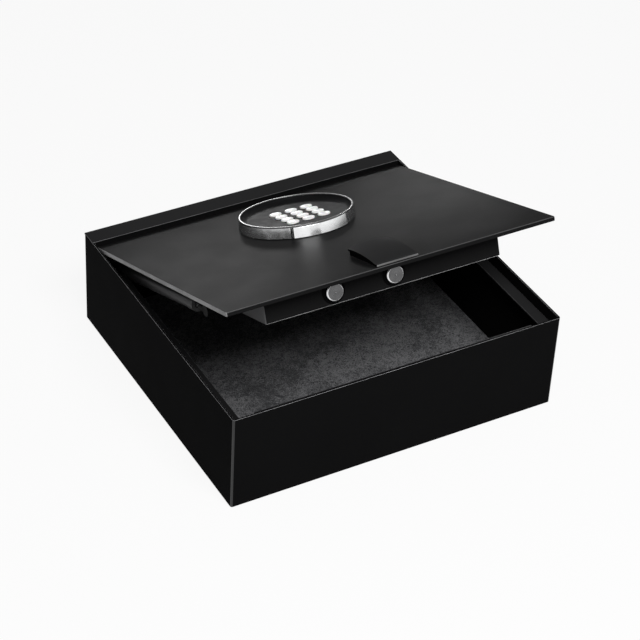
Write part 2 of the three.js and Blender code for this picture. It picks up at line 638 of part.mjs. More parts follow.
// Control board under the lid plate, on four standoffs, behind the bolt drive
const boardX = housingInnerX - BOARD.fromSide - BOARD.width / 2;
const boardY = -HOUSING.backInset - BOARD.backGap - BOARD.depth / 2;
function controlBoard() {
  const x = boardX;
  const top = lidUnder - FIT - BOARD.standoffHeight;
  const halfX = BOARD.width / 2;
  const halfY = BOARD.depth / 2;
  let board = block(x - halfX, x + halfX, boardY - halfY, boardY + halfY, top - BOARD.sheet, top);
  for (const sx of [-1, 1])
    for (const sy of [-1, 1]) {
      const px = x + sx * (halfX - BOARD.standoffInset);
      const py = boardY + sy * (halfY - BOARD.standoffInset);
      board = join(board, rod("z", BOARD.standoff, top - 0.5, lidUnder - FIT, px, py, 12));
    }
  const under = top - BOARD.sheet;
  const into = under + BOARD.sheet / 2;
  const chip = CHIP.size / 2;
  board = join(board, block(x - chip, x + chip, boardY - chip, boardY + chip, under - CHIP.height, into));
  const left = x + SOCKET.x - SOCKET.width / 2;
  const right = x + SOCKET.x + SOCKET.width / 2;
  const front = boardY - SOCKET.length / 2;
  board = join(board, block(left, right, front, front + SOCKET.length, under - SOCKET.height, into));
  const { diameter, height } = CAPACITOR;
  return join(board, rod("z", diameter, under - height, into, x + CAPACITOR.x, boardY + CAPACITOR.y, 20));
}
place("control_board", controlBoard(), "board", lid);

// Keypad: heights here are above the lid's top face
const ringInner = KEYPAD.radius - KEYPAD.ringWall;
const faceTop = KEYPAD.height - DISH.depth;
const windowTop = KEYPAD.height - COVER.rimLeft;

function wedge(halfAngle, z0, z1) {
  const reach = KEYPAD.radius + 10;
  const shape = new THREE.Shape();
  shape.moveTo(0, 0);
  shape.lineTo(-reach * Math.sin(halfAngle), -reach * Math.cos(halfAngle));
  shape.absarc(0, 0, reach, -Math.PI / 2 - halfAngle, -Math.PI / 2 + halfAngle);
  return raised(shape, z0, z1, 0, 16);
}

function keypadRing() {
  const { radius, height, rimRound, rimStep } = KEYPAD;
  const profile = [
    [ringInner, FIT], [radius, FIT], [radius, height - rimRound],
    [radius - rimStep, height - rimStep], [radius - rimRound, height],
    [ringInner + rimRound, height], [ringInner + rimStep, height - rimStep],
    [ringInner, height - rimRound], [ringInner, FIT],
  ];
  const window = wedge(COVER.halfAngle + COVER.groove / radius, -1, windowTop);
  return cut(turned(profile, 72), window);
}

function overrideCover() {
  const inner = ringInner + COVER.innerGap;
  const z0 = 2 * FIT;
  const z1 = windowTop - FIT;
  const band = turned([[inner, z0], [KEYPAD.radius, z0], [KEYPAD.radius, z1], [inner, z1], [inner, z0]], 72);
  return band.intersect(wedge(COVER.halfAngle, z0 - 1, z1 + 1));
}

function keypadBase() {
  const r = ringInner - KEYPAD_BASE.edgeGap;
  const z1 = FIT + KEYPAD_BASE.thickness;
  const hole = LID.cableHole / 2;
  return turned([[hole, FIT], [r, FIT], [r, z1], [hole, z1], [hole, FIT]], 36);
}

function ellipse(x, y, halfX, halfY) {
  const shape = new THREE.Shape();
  shape.absellipse(x, y, halfX, halfY, 0, Math.PI * 2);
  return shape;
}

const KEY_NAMES = ["1", "2", "3", "4", "5", "6", "7", "8", "9", "clear", "0", "enter"];
function keyPlace(index) {
  const column = (index % 3) - 1;
  const row = Math.floor(index / 3) - 1.5;
  return [KEY_BLOCK.right + column * KEY.pitchX, -KEY_BLOCK.forward - row * KEY.pitchY];
}

function keypadFace() {
  const outer = ringInner - FIT;
  const rim = KEYPAD.height - DISH.rimDrop;
  const legR = outer - DISH.sheet;
  const legFoot = FIT * 2 + KEYPAD_BASE.thickness;
  const profile = [
    [0, faceTop], [DISH.radius, faceTop], [outer, rim], [outer, rim - DISH.thin],
    [legR, rim - DISH.thin - DISH.legShoulder], [DISH.radius, faceTop - DISH.thin],
    [DISH.radius, legFoot], [DISH.radius - DISH.sheet, legFoot],
    [DISH.radius - DISH.sheet, faceTop - DISH.sheet], [0, faceTop - DISH.sheet],
  ];
  let face = turned(profile.reverse(), 44);
  for (let i = 0; i < KEY_NAMES.length; i += 1) {
    const [x, y] = keyPlace(i);
    const hole = ellipse(x, y, KEY.halfX + KEY.clear, KEY.halfY + KEY.clear);
    face = cut(face, raised(hole, faceTop - DISH.sheet - 1, faceTop + 1, 0, 6));
  }
  return face;
}

// A key: a domed oval cap on a flange that the face holds in from above
function keyCap(index) {
  const top = faceTop + KEY.proud;
  const seat = faceTop - DISH.sheet - FIT;
  const foot = seat - KEY_FLANGE.thickness;
  const profile = [
    [0, foot], [KEY_FLANGE.ratio, foot], [KEY_FLANGE.ratio, seat], [1, seat],
    ...KEY_DOME.map(([share, drop]) => [share, top - drop]),
  ];
  const points = profile.map(([radius, height]) => new THREE.Vector2(radius, height));
  const cap = new THREE.LatheGeometry(points, 14).rotateX(Math.PI / 2);
  const [x, y] = keyPlace(index);
  return solid(cap.scale(KEY.halfX, KEY.halfY, 1)).translate([x, y, 0]);
}

// Emergency contacts behind the removable cover: two studs on a small block
function emergencyContacts() {
  const face = -(ringInner - CONTACTS.ringGap - CONTACTS.studReach);
  const z0 = FIT * 2 + KEYPAD_BASE.thickness;
  const z1 = z0 + CONTACTS.height;
  let body = block(-CONTACTS.width / 2, CONTACTS.width / 2, face, face + CONTACTS.depth, z0, z1);
  for (const x of [-CONTACTS.spacing / 2, CONTACTS.spacing / 2]) {
    const middle = (z0 + z1) / 2;
    body = join(body, rod("y", CONTACTS.stud, face - CONTACTS.studReach, face + 1, x, middle, 14));
  }
  return body;
}

place("keypad_ring", keypadRing(), "chrome", keypad);
place("override_cover", overrideCover(), "chrome", keypad);
place("keypad_base", keypadBase(), "plastic", keypad);
place("keypad_face", keypadFace(), "plastic", keypad);
place("emergency_contacts", emergencyContacts(), "zinc", keypad);
KEY_NAMES.forEach((name, i) => place(`key_${name}`, keyCap(i), "white", keypad));

// Gas struts. Each runs from a stud on the side wall to a bracket under the lid.
const upperY = -STRUT.upperReach;
const upperZ = -STRUT.upperDepth;
const cos = Math.cos(LID_OPEN_AT_REST);
const sin = Math.sin(LID_OPEN_AT_REST);
const upperNow = [axisY + upperY * cos + upperZ * sin, axisZ - upperY * sin + upperZ * cos];
const strutRun = [strutY - upperNow[0], upperNow[1] - strutZ];
const strutLength = Math.hypot(...strutRun);
const strutTilt = Math.atan2(strutRun[1], strutRun[0]);

// The cylinder: eye, tube and guide collar, bored for the rod, along -Y from its eye
function strutCylinder() {
  const tubeEnd = -(strutLength - STRUT.capEnd);
  const collarStart = tubeEnd + STRUT.collarLength;
  const half = STRUT.eyeWidth / 2;
  let body = rod("y", STRUT.tube, collarStart - 1, -STRUT.eyeRadius - 2, 0, 0, 20);
  body = join(body, rod("y", STRUT.collar, tubeEnd, collarStart, 0, 0, 20));
  body = join(body, rod("x", 2 * STRUT.eyeRadius, -half, half, 0, 0, 20));
  body = join(body, block(-half, half, -STRUT.eyeRadius - 4, 0, -half, half));
  body = cut(body, rod("x", PIN.hole, -half - 1, half + 1, 0, 0, 20));
  return cut(body, rod("y", STRUT.bore, tubeEnd - 1, -STRUT.eyeRadius - 8, 0, 0, 20));
}

// The rod, with its end piece; the eye stops short of the bracket's stud
function strutRod() {
  const eye = -strutLength;
  const half = STRUT.eyeWidth / 2;
  const socketBack = eye + STRUT.socketLength;
  const inside = eye + strutLength * STRUT.rodShare;
  let body = rod("y", STRUT.rod, socketBack - 1, inside, 0, 0, 16);
  body = join(body, rod("y", STRUT.socket, eye + 3, socketBack, 0, 0, 16));
  return join(body, rod("x", 2 * STRUT.upperEyeRadius, -half, half, eye, 0, 20));
}

// Headed stud through the side bracket, on which the cylinder's eye turns
function strutStud(side) {
  const wallEnd = innerX - 2 * FIT;
  const headFace = strutX - STRUT.eyeWidth / 2 - FIT;
  const span = (a, b) => [Math.min(side * a, side * b), Math.max(side * a, side * b)];
  const shank = rod("x", PIN.diameter, ...span(wallEnd, headFace), 0, 0, 20);
  const head = rod("x", STRUT_STUD.head, ...span(headFace, headFace - STRUT_STUD.headLength), 0, 0, 20);
  return join(shank, head).translate([0, strutY, strutZ]);
}

// Angle bracket under the lid with the short stud at the strut's upper end
function strutBracket(side) {
  const top = lidUnder - FIT;
  const eyeFace = strutX - STRUT.eyeWidth / 2;
  const x0 = eyeFace - STRUT_BRACKET.flange;
  const x1 = x0 + STRUT_BRACKET.sheet;
  const s = STRUT_BRACKET.half;
  const span = (a, b) => [Math.min(side * a, side * b), Math.max(side * a, side * b)];
  const foot = upperZ - STRUT.upperEyeRadius;
  const shoulder = top - STRUT_BRACKET.shoulder;
  const profile = [
    [upperY - s, top], [upperY - s, shoulder], [upperY - s / 2, foot],
    [upperY + s / 2, foot], [upperY + s, shoulder], [upperY + s, top],
  ];
  const web = drawnAlongX(profile, ...span(x0, x1));
  const flangeX = span(x0, x0 - STRUT_BRACKET.flange);
  const flange = block(...flangeX, upperY - s, upperY + s, top - STRUT_BRACKET.flangeSheet, top);
  const studEnd = strutX - Math.max(STRUT.eyeWidth, STRUT.socket) / 2 - STRUT.endGap;
  const stud = rod("x", PIN.diameter, ...span(x0, studEnd), upperY, upperZ, 20);
  return join(web, flange, stud);
}

for (const [name, side] of SIDES) {
  place(`strut_stud_${name}`, strutStud(side), "steel");
  place(`strut_bracket_${name}`, strutBracket(side), "steel", lid);
  for (const [piece, body, finish] of [["cylinder", strutCylinder(), "steel"], ["rod", strutRod(), "zinc"]]) {
    const mesh = place(`strut_${piece}_${name}`, body, finish);
    mesh.position.set(side * strutX, strutY, strutZ);
    mesh.rotation.x = -strutTilt;
  }
}

export default root;
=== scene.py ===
import json
import math

import bmesh
import bpy
import numpy as np
from bpy.props import FloatProperty, FloatVectorProperty, IntProperty, PointerProperty
from mathutils import Matrix, Vector, noise


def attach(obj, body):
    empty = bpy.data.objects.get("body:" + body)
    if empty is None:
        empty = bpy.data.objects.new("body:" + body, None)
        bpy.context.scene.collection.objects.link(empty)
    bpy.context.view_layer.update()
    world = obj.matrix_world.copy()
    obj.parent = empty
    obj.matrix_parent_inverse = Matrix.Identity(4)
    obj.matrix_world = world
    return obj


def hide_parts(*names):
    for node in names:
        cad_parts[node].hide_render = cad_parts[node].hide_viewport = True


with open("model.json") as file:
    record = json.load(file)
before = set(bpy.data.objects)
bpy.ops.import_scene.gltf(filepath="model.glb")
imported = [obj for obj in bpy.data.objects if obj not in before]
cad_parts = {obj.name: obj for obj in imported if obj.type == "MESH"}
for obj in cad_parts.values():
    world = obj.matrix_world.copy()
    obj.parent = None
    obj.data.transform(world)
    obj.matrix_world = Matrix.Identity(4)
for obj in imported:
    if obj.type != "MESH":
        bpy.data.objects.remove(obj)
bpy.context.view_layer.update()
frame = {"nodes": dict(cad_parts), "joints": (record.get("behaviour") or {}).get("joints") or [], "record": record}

bl_info = {
    "name": "Strongbox dressing",
    "version": (1, 0, 0),
    "blender": (4, 5, 0),
    "location": "3D View > Sidebar > Strongbox",
    "description": "Builds the visible pieces and finishes of a steel strongbox on its frame",
    "category": "Object",
}

MM = 0.001
SIDES = ("left", "right")
KEY_NAMES = ("1", "2", "3", "4", "5", "6", "7", "8", "9", "clear", "0", "enter")

# Places taken from the frame. The lid is described around its hinge line, as if closed.
JOINTS = {joint["name"]: joint for joint in frame["joints"]}
HINGE_POINT = Vector(JOINTS["lid_hinge"]["pos_m"])
LID_OPEN = math.radians(-JOINTS["lid_hinge"]["range_deg"][0])
LID = Matrix.Translation(HINGE_POINT) @ Matrix.Rotation(-LID_OPEN, 4, "X")


def extent(node, place=None):
    """Lowest and highest corner of a CAD node, in metres, measured in the place's own axes."""
    back = (place or Matrix.Identity(4)).inverted()
    corners = np.array([back @ vertex.co for vertex in frame["nodes"][node].data.vertices])
    return Vector(corners.min(0)), Vector(corners.max(0))


def middle(box):
    return (box[0] + box[1]) / 2


def half_width(box):
    return (box[1].x - box[0].x) / 2


PLATE = extent("lid_plate", LID)
RING = extent("keypad_ring", LID)
KEYPAD = LID @ Matrix.Translation((middle(RING).x, middle(RING).y, PLATE[1].z))
FACE = extent("keypad_face", KEYPAD)
PULL = extent("finger_pull", LID)
FELT = extent("felt_floor")
CASE_TOP = extent("case_shell")[1].z

# A face's direction along an axis, from which it counts as leaning or as flat towards it
LEAN = 0.2
FLAT = 0.9


# Sizes and colours that a user would change

def length_setting(name, description, millimetres, least=0.0):
    """A length, given in millimetres and kept in metres."""
    return FloatProperty(
        name=name, description=description, default=millimetres * MM, min=least * MM,
        unit="LENGTH", subtype="DISTANCE",
    )


def angle_setting(name, description, degrees, **limits):
    """An angle, given in degrees and kept in radians."""
    return FloatProperty(
        name=name, description=description, default=math.radians(degrees),
        unit="ROTATION", subtype="ANGLE", **limits,
    )


def colour_setting(name, description, *channels):
    return FloatVectorProperty(
        name=name, description=description, default=channels, size=3, min=0.0, max=1.0, subtype="COLOR",
    )


class CaseSettings(bpy.types.PropertyGroup):
    fold_radius: length_setting("Fold radius", "Rounding of the case's sheet edges", 0.5)
    paint: colour_setting("Case paint", "Powder coat of the case", 0.0062, 0.0062, 0.0064)
    # The case edge colour is a painted highlight: the case's fold and rim coats and the header's and ledges'
    # bright edges are made from it.
    edge: colour_setting("Case edge", "Thinner, lighter coat along the case's edges", 0.08, 0.08, 0.082)
    bracket: colour_setting(
        "Plated steel", "Dark plating of the hinge plates and keeper", 0.022, 0.022, 0.023,
    )


class LidSettings(bpy.types.PropertyGroup):
    edge_radius: length_setting("Edge radius", "Rounding of the lid's and housing's edges", 0.4)
    paint: colour_setting("Lid paint", "Powder coat of the lid and lock housing", 0.0068, 0.0068, 0.00695)
    # The lid edge and lid side colours are painted highlights: the front's upper rounding, the plate's sides, and
    # the housing's and pull's bright edges are made from them.
    edge: colour_setting("Lid edge", "Thinner, lighter coat along the lid's edges", 0.026, 0.026, 0.0268)
    side: colour_setting("Lid sides", "Thin coat on the plate's narrow side faces", 0.24, 0.24, 0.242)


class PullSettings(bpy.types.PropertyGroup):
    sheet: length_setting("Leaf thickness", "Thickness of the finger pull's leaf", 2.0, least=0.5)
    foot: length_setting("Foot", "Length of the flat foot that is fixed to the lid", 4.0, least=1.0)
    rise: length_setting("Rise", "Height of the leaf's back corners over its foot", 6.4)
    bulge: length_setting("Bulge", "How far the leaf bows up along its length", 2.8)
    crown: length_setting("Crown", "How far the middle of the back edge arches up", 3.0)
    corner: length_setting("Corner radius", "Rounding of the leaf's two back corners", 5.0)
    paint: colour_setting("Pull paint", "Coat of the finger pull", 0.019, 0.019, 0.0195)


class KeypadSettings(bpy.types.PropertyGroup):
    ring_wall: length_setting("Ring wall", "Thickness of the chrome ring", 2.3, least=1.0)
    rim_round: length_setting("Rim rounding", "Rounding of the ring's upper edges", 0.8, least=0.1)
    rim_left: length_setting(
        "Rim over the cover", "Height of the rim above the removable cover", 1.7, least=0.5,
    )
    draft: angle_setting(
        "Ring draft", "How far the ring's wall leans out towards the lid", 4.5, min=0.0, max=0.5,
    )
    cover_draft: angle_setting(
        "Cover draft", "How far the removable cover leans out towards the lid", 9.5, min=0.0, max=0.5,
    )
    groove: length_setting(
        "Groove", "Width of the joint beside the removable cover, post and gaps", 3.0, least=0.2,
    )
    post: length_setting("Post", "Width of the ring's post in each joint", 1.0, least=0.1)
    cover_half_angle: angle_setting(
        "Cover half angle", "Half the angle that the removable cover spans", 30.2, min=0.05, max=1.5,
    )
    dish_radius: length_setting("Dish radius", "Radius of the dish's flat floor", 55.0, least=20.0)
    dish_foot: length_setting(
        "Dish foot", "Outer radius of the wall that the dish stands on", 54.0, least=20.0,
    )
    dish_depth: length_setting("Dish depth", "Depth of the dish below its rim", 5.0, least=1.0)
    dish_sheet: length_setting("Dish wall", "Thickness of the dish", 2.0, least=0.5)
    key_clear: length_setting("Key clearance", "Gap round each key in the face", 0.4, least=0.1)
    segments: IntProperty(
        name="Segments", description="Steps round the chrome ring", default=180, min=24, max=720,
    )
    chrome: colour_setting("Chrome", "Colour of the plated ring", 0.90, 0.905, 0.91)
    face: colour_setting("Keypad face", "Moulded plastic of the dished face", 0.0075, 0.0075, 0.008)
    key: colour_setting("Key white", "Plastic of the keys", 0.94, 0.94, 0.93)
    digit: colour_setting("Digit grey", "Raised digits on the keys", 0.60, 0.60, 0.60)


class LockSettings(bpy.types.PropertyGroup):
    chamfer: length_setting("Bolt chamfer", "Chamfer round each bolt's end", 1.2, least=0.1)
    centre_drill: length_setting(
        "Centre mark", "Radius of the turning centre in each bolt's end", 1.3, least=0.2,
    )
    steel: colour_setting("Bolt steel", "Turned steel of the bolts", 0.13, 0.13, 0.132)
    zinc: colour_setting("Zinc", "Bright plated steel of the drive and pins", 0.50, 0.50, 0.51)


class FeltSettings(bpy.types.PropertyGroup):
    cell: length_setting("Felt step", "Spacing of the points in the felt's surface", 2.5, least=1.0)
    nap: length_setting("Nap height", "Unevenness of the felt's upper face", 0.5)
    dark: colour_setting("Felt dark", "Darker fibres", 0.020, 0.020, 0.022)
    light: colour_setting("Felt light", "Lighter fibres", 0.16, 0.16, 0.165)


class StageSettings(bpy.types.PropertyGroup):
    floor: colour_setting("Floor", "Colour of the floor", 0.86, 0.86, 0.86)
    azimuth: angle_setting("Azimuth", "The camera's bearing from the front", -30.969)
    elevation: angle_setting("Elevation", "The camera's height angle", 37.345)
    roll: angle_setting("Roll", "The camera's turn about its own axis", 3.266)
    distance: length_setting("Distance", "From the camera to its target", 2515.66)
    lens: FloatProperty(
        name="Focal length", description="In millimetres, on a sensor 36 mm wide", default=126.49,
    )


SETTINGS = (
    ("box_case", CaseSettings), ("box_lid", LidSettings), ("box_pull", PullSettings),
    ("box_keypad", KeypadSettings), ("box_lock", LockSettings), ("box_felt", FeltSettings),
    ("box_stage", StageSettings),
)


# Finishes

WHITE = (1.0, 1.0, 1.0, 1.0)


class Recipe:
    """A node material under construction."""

    def __init__(self, name, roughness, metallic=0.0, specular=0.5, ior=1.5):
        self.material = bpy.data.materials.new(name)
        self.material.use_nodes = True
        self.tree = self.material.node_tree
        self.shader = self.tree.nodes["Principled BSDF"]
        self.shader.inputs["Roughness"].default_value = roughness
        self.shader.inputs["Metallic"].default_value = metallic
        self.shader.inputs["Specular IOR Level"].default_value = specular
        self.shader.inputs["IOR"].default_value = ior
        self.where = self.node("ShaderNodeTexCoord").outputs["Object"]

    def node(self, kind, **values):
        """A new node; each value sets the property or else the input of that name."""
        made = self.tree.nodes.new(kind)
        for name, value in values.items():
            if hasattr(made, name):
                setattr(made, name, value)
            else:
                self.feed(made.inputs[name.replace("_", " ")], value)
        return made

    def feed(self, socket, value):
        if isinstance(value, bpy.types.NodeSocket):
            self.tree.links.new(value, socket)
        else:
            socket.default_value = value

    def stretched(self, scale):
        return self.node("ShaderNodeMapping", Vector=self.where, Scale=scale).outputs["Vector"]

    def grain(self, scale, detail=3.0, roughness=0.55, where=None, distortion=0.0):
        """Soft noise with the given number of waves in a metre."""
        made = self.node(
            "ShaderNodeTexNoise", Vector=where or self.where, Scale=scale, Detail=detail,
            Roughness=roughness, Distortion=distortion,
        )
        return made.outputs["Fac"]

    def cells(self, scale):
        return self.node("ShaderNodeTexVoronoi", Vector=self.where, Scale=scale).outputs["Distance"]

    def spread(self, value, low, high, to_low=0.0, to_high=1.0):
        """Maps a value from one range to another, smoothly and within its ends."""
        made = self.node("ShaderNodeMapRange", interpolation_type="SMOOTHSTEP")
        for name, given in (
            ("Value", value), ("From Min", low), ("From Max", high), ("To Min", to_low), ("To Max", to_high),
        ):
            self.feed(made.inputs[name], given)
        return made.outputs["Result"]

    def maths(self, operation, first, second):
        made = self.node("ShaderNodeMath", operation=operation)
        self.feed(made.inputs[0], first)
        self.feed(made.inputs[1], second)
        return made.outputs["Value"]

    def blend(self, factor, first, second):
        made = self.node("ShaderNodeMix", data_type="RGBA")
        self.feed(made.inputs["Factor"], factor)
        self.feed(made.inputs["A"], first)
        self.feed(made.inputs["B"], second)
        return made.outputs["Result"]

    def mottled(self, colour, darker, lighter, scale, detail=3.0, ends=(0.3, 0.7)):
        """A colour that drifts between a darker and a lighter shade of itself."""
        tone = self.spread(self.grain(scale, detail), *ends)
        return self.blend(tone, shade(colour, darker), shade(colour, lighter))

    def part(self, axis):
        """The place's X, Y or Z in the object's own axes."""
        return self.node("ShaderNodeSeparateXYZ", Vector=self.where).outputs[axis]

    def colour(self, value):
        self.feed(self.shader.inputs["Base Color"], value)

    def uneven(self, pattern, least, most, ends=(0.3, 0.7)):
        """Roughness that follows a pattern from its least to its greatest value."""
        self.feed(self.shader.inputs["Roughness"], self.spread(pattern, *ends, least, most))

    def bump(self, height, depth, strength=1.0, over=None):
        """Relief of the given depth in metres, laid over another bump where one is given."""
        made = self.node("ShaderNodeBump", Strength=strength, Distance=depth, Height=height)
        if over is not None:
            self.feed(made.inputs["Normal"], over)
        return made.outputs["Normal"]

    def relief(self, normal):
        self.feed(self.shader.inputs["Normal"], normal)


def shade(colour, factor):
    """A colour times a factor, as the four channels that a socket takes."""
    return tuple(min(1.0, channel * factor) for channel in colour[:3]) + (1.0,)


def powder_coat(name, paint, roughness, ior, cloud=0.06):
    """Satin powder coat: fine orange peel, cloudy tone and a little lint."""
    recipe = Recipe(name, roughness, ior=ior)
    base = recipe.mottled(paint, 1 - cloud, 1 + cloud, scale=9.0, detail=4.0)
    lint = recipe.spread(recipe.grain(2600.0, detail=1.0), 0.66, 0.78)
    recipe.colour(recipe.blend(lint, base, shade(paint, 1.25)))
    recipe.uneven(recipe.grain(26.0), roughness - 0.015, roughness + 0.02)
    waves = recipe.bump(recipe.grain(210.0), 0.1 * MM, 0.35)
    recipe.relief(recipe.bump(recipe.grain(900.0, detail=2.0), 0.04 * MM, 0.55, over=waves))
    return recipe.material


def edge_highlight_and_wear(name, paint, roughness=0.42):
    """A coat along an edge, lighter and smoother and broken by small nicks: the lighter colour is painted
    highlight, the nicks are wear.
    """
    recipe = Recipe(name, roughness)
    base = recipe.mottled(paint, 0.62, 1.15, scale=34.0, detail=5.0, ends=(0.35, 0.68))
    nicks = recipe.spread(recipe.grain(420.0), 0.64, 0.74)
    recipe.colour(recipe.blend(nicks, base, shade(paint, 1.9)))
    recipe.relief(recipe.bump(recipe.grain(700.0), 0.03 * MM, 0.5))
    return recipe.material


def plated_steel(name, colour, roughness, metallic=1.0):
    """Plated steel with a fine satin grain and a cloudy tone."""
    recipe = Recipe(name, roughness, metallic=metallic)
    satin = recipe.grain(900.0)
    recipe.colour(recipe.mottled(colour, 0.82, 1.1, scale=55.0))
    recipe.uneven(satin, roughness - 0.07, roughness + 0.09)
    recipe.relief(recipe.bump(satin, 0.02 * MM, 0.4))
    return recipe.material


def turned_steel(name, colour, roughness=0.3):
    """Steel bar with turning rings about its own length, which is the object's Z axis."""
    recipe = Recipe(name, roughness, metallic=1.0)
    squares = [recipe.maths("MULTIPLY", recipe.part(axis), recipe.part(axis)) for axis in ("X", "Y")]
    radius = recipe.maths("POWER", recipe.maths("ADD", *squares), 0.5)
    station = recipe.maths("MULTIPLY", recipe.maths("ADD", radius, recipe.part("Z")), 2600.0)
    along = recipe.node("ShaderNodeCombineXYZ", X=station).outputs["Vector"]
    rings = recipe.grain(1.0, detail=2.0, where=along)
    recipe.colour(recipe.mottled(colour, 0.85, 1.08, scale=120.0))
    recipe.uneven(rings, roughness - 0.06, roughness + 0.10)
    recipe.relief(recipe.bump(rings, 0.025 * MM, 0.5))
    return recipe.material


def chrome_plate(name, colour):
    """Bright chrome with faint polishing haze and a slightly wavy face."""
    recipe = Recipe(name, 0.18, metallic=1.0)
    recipe.colour(recipe.mottled(colour, 0.94, 1.04, scale=46.0, detail=5.0, ends=(0.35, 0.7)))
    recipe.uneven(recipe.grain(160.0, detail=4.0), 0.14, 0.22, ends=(0.3, 0.75))
    recipe.relief(recipe.bump(recipe.grain(38.0, detail=1.0), 0.12 * MM, 0.18))
    return recipe.material


def moulded_plastic(name, colour, roughness, grain=700.0, depth=0.04 * MM, ior=1.5):
    """Moulded plastic with a fine spark-eroded grain."""
    recipe = Recipe(name, roughness, ior=ior)
    recipe.colour(recipe.mottled(colour, 0.88, 1.12, scale=60.0))
    recipe.uneven(recipe.grain(90.0), roughness - 0.04, roughness + 0.05)
    recipe.relief(recipe.bump(recipe.cells(grain), depth, 0.5))
    return recipe.material


def key_plastic(name, colour):
    """Slightly translucent white plastic with a soft gloss."""
    recipe = Recipe(name, 0.24)
    recipe.shader.inputs["Subsurface Weight"].default_value = 0.12
    recipe.shader.inputs["Subsurface Scale"].default_value = 2.0 * MM
    recipe.colour(recipe.mottled(colour, 0.97, 1.02, scale=150.0))
    recipe.uneven(recipe.grain(260.0), 0.2, 0.3)
    recipe.relief(recipe.bump(recipe.grain(900.0), 0.01 * MM, 0.3))
    return recipe.material


def needled_felt(name, dark, light):
    """Needled felt: matted fibres in patches, with a soft sheen."""
    recipe = Recipe(name, 0.96, specular=0.1)
    recipe.shader.inputs["Sheen Weight"].default_value = 0.35
    recipe.shader.inputs["Sheen Roughness"].default_value = 0.6
    recipe.shader.inputs["Sheen Tint"].default_value = (0.55, 0.56, 0.58, 1.0)
    fibres = recipe.grain(400.0, detail=3.0, roughness=0.65, distortion=2.2)
    tufts = recipe.grain(150.0, detail=4.0, roughness=0.65, distortion=0.8)
    patches = recipe.grain(16.0, detail=3.0, roughness=0.5)
    fibre_tone = recipe.maths("MULTIPLY", recipe.spread(fibres, 0.40, 0.62), 0.75)
    tuft_tone = recipe.maths("MULTIPLY", recipe.spread(tufts, 0.34, 0.68), 0.4)
    matted = recipe.maths("ADD", fibre_tone, tuft_tone)
    worn = recipe.maths("MULTIPLY", matted, recipe.spread(patches, 0.32, 0.68, 0.55, 1.25))
    recipe.colour(recipe.blend(recipe.spread(worn, 0.12, 0.85), dark, light))
    recipe.relief(recipe.bump(fibres, 0.5 * MM, 0.9, over=recipe.bump(tufts, 1.1 * MM, 0.8)))
    return recipe.material


def circuit_board(name):
    """Green solder resist with faint tracks under it."""
    recipe = Recipe(name, 0.3)
    tracks = recipe.node("ShaderNodeTexBrick", Vector=recipe.where, Scale=260.0, Mortar_Size=0.06)
    fine = recipe.spread(recipe.grain(40.0), 0.3, 0.7)
    base = recipe.blend(fine, (0.012, 0.075, 0.028, 1.0), (0.020, 0.110, 0.040, 1.0))
    recipe.colour(recipe.blend(tracks.outputs["Fac"], (0.035, 0.17, 0.06, 1.0), base))
    recipe.relief(recipe.bump(tracks.outputs["Fac"], 0.03 * MM, 0.4))
    return recipe.material


def cell_jacket(name):
    """Shrunk film over a battery: a dark sleeve with a copper-coloured end, without print."""
    recipe = Recipe(name, 0.28, metallic=0.3)
    band = recipe.spread(recipe.part("Y"), -83.0 * MM, -82.5 * MM)
    wrinkles = recipe.grain(1.0, where=recipe.stretched((300.0, 40.0, 300.0)))
    dark = recipe.blend(wrinkles, (0.014, 0.014, 0.016, 1.0), (0.024, 0.024, 0.027, 1.0))
    recipe.colour(recipe.blend(band, dark, (0.42, 0.20, 0.09, 1.0)))
    recipe.relief(recipe.bump(wrinkles, 0.05 * MM, 0.4))
    return recipe.material


def rubber_strip(name):
    """Matt rubber with a bloom of talc and a fine extruded grain."""
    recipe = Recipe(name, 0.8, specular=0.3)
    bloom = recipe.spread(recipe.grain(70.0, detail=5.0), 0.4, 0.75)
    recipe.colour(recipe.blend(bloom, (0.012, 0.012, 0.012, 1.0), (0.030, 0.030, 0.030, 1.0)))
    lines = recipe.grain(1.0, where=recipe.stretched((60.0, 2200.0, 2200.0)))
    recipe.relief(recipe.bump(lines, 0.04 * MM, 0.5))
    return recipe.material


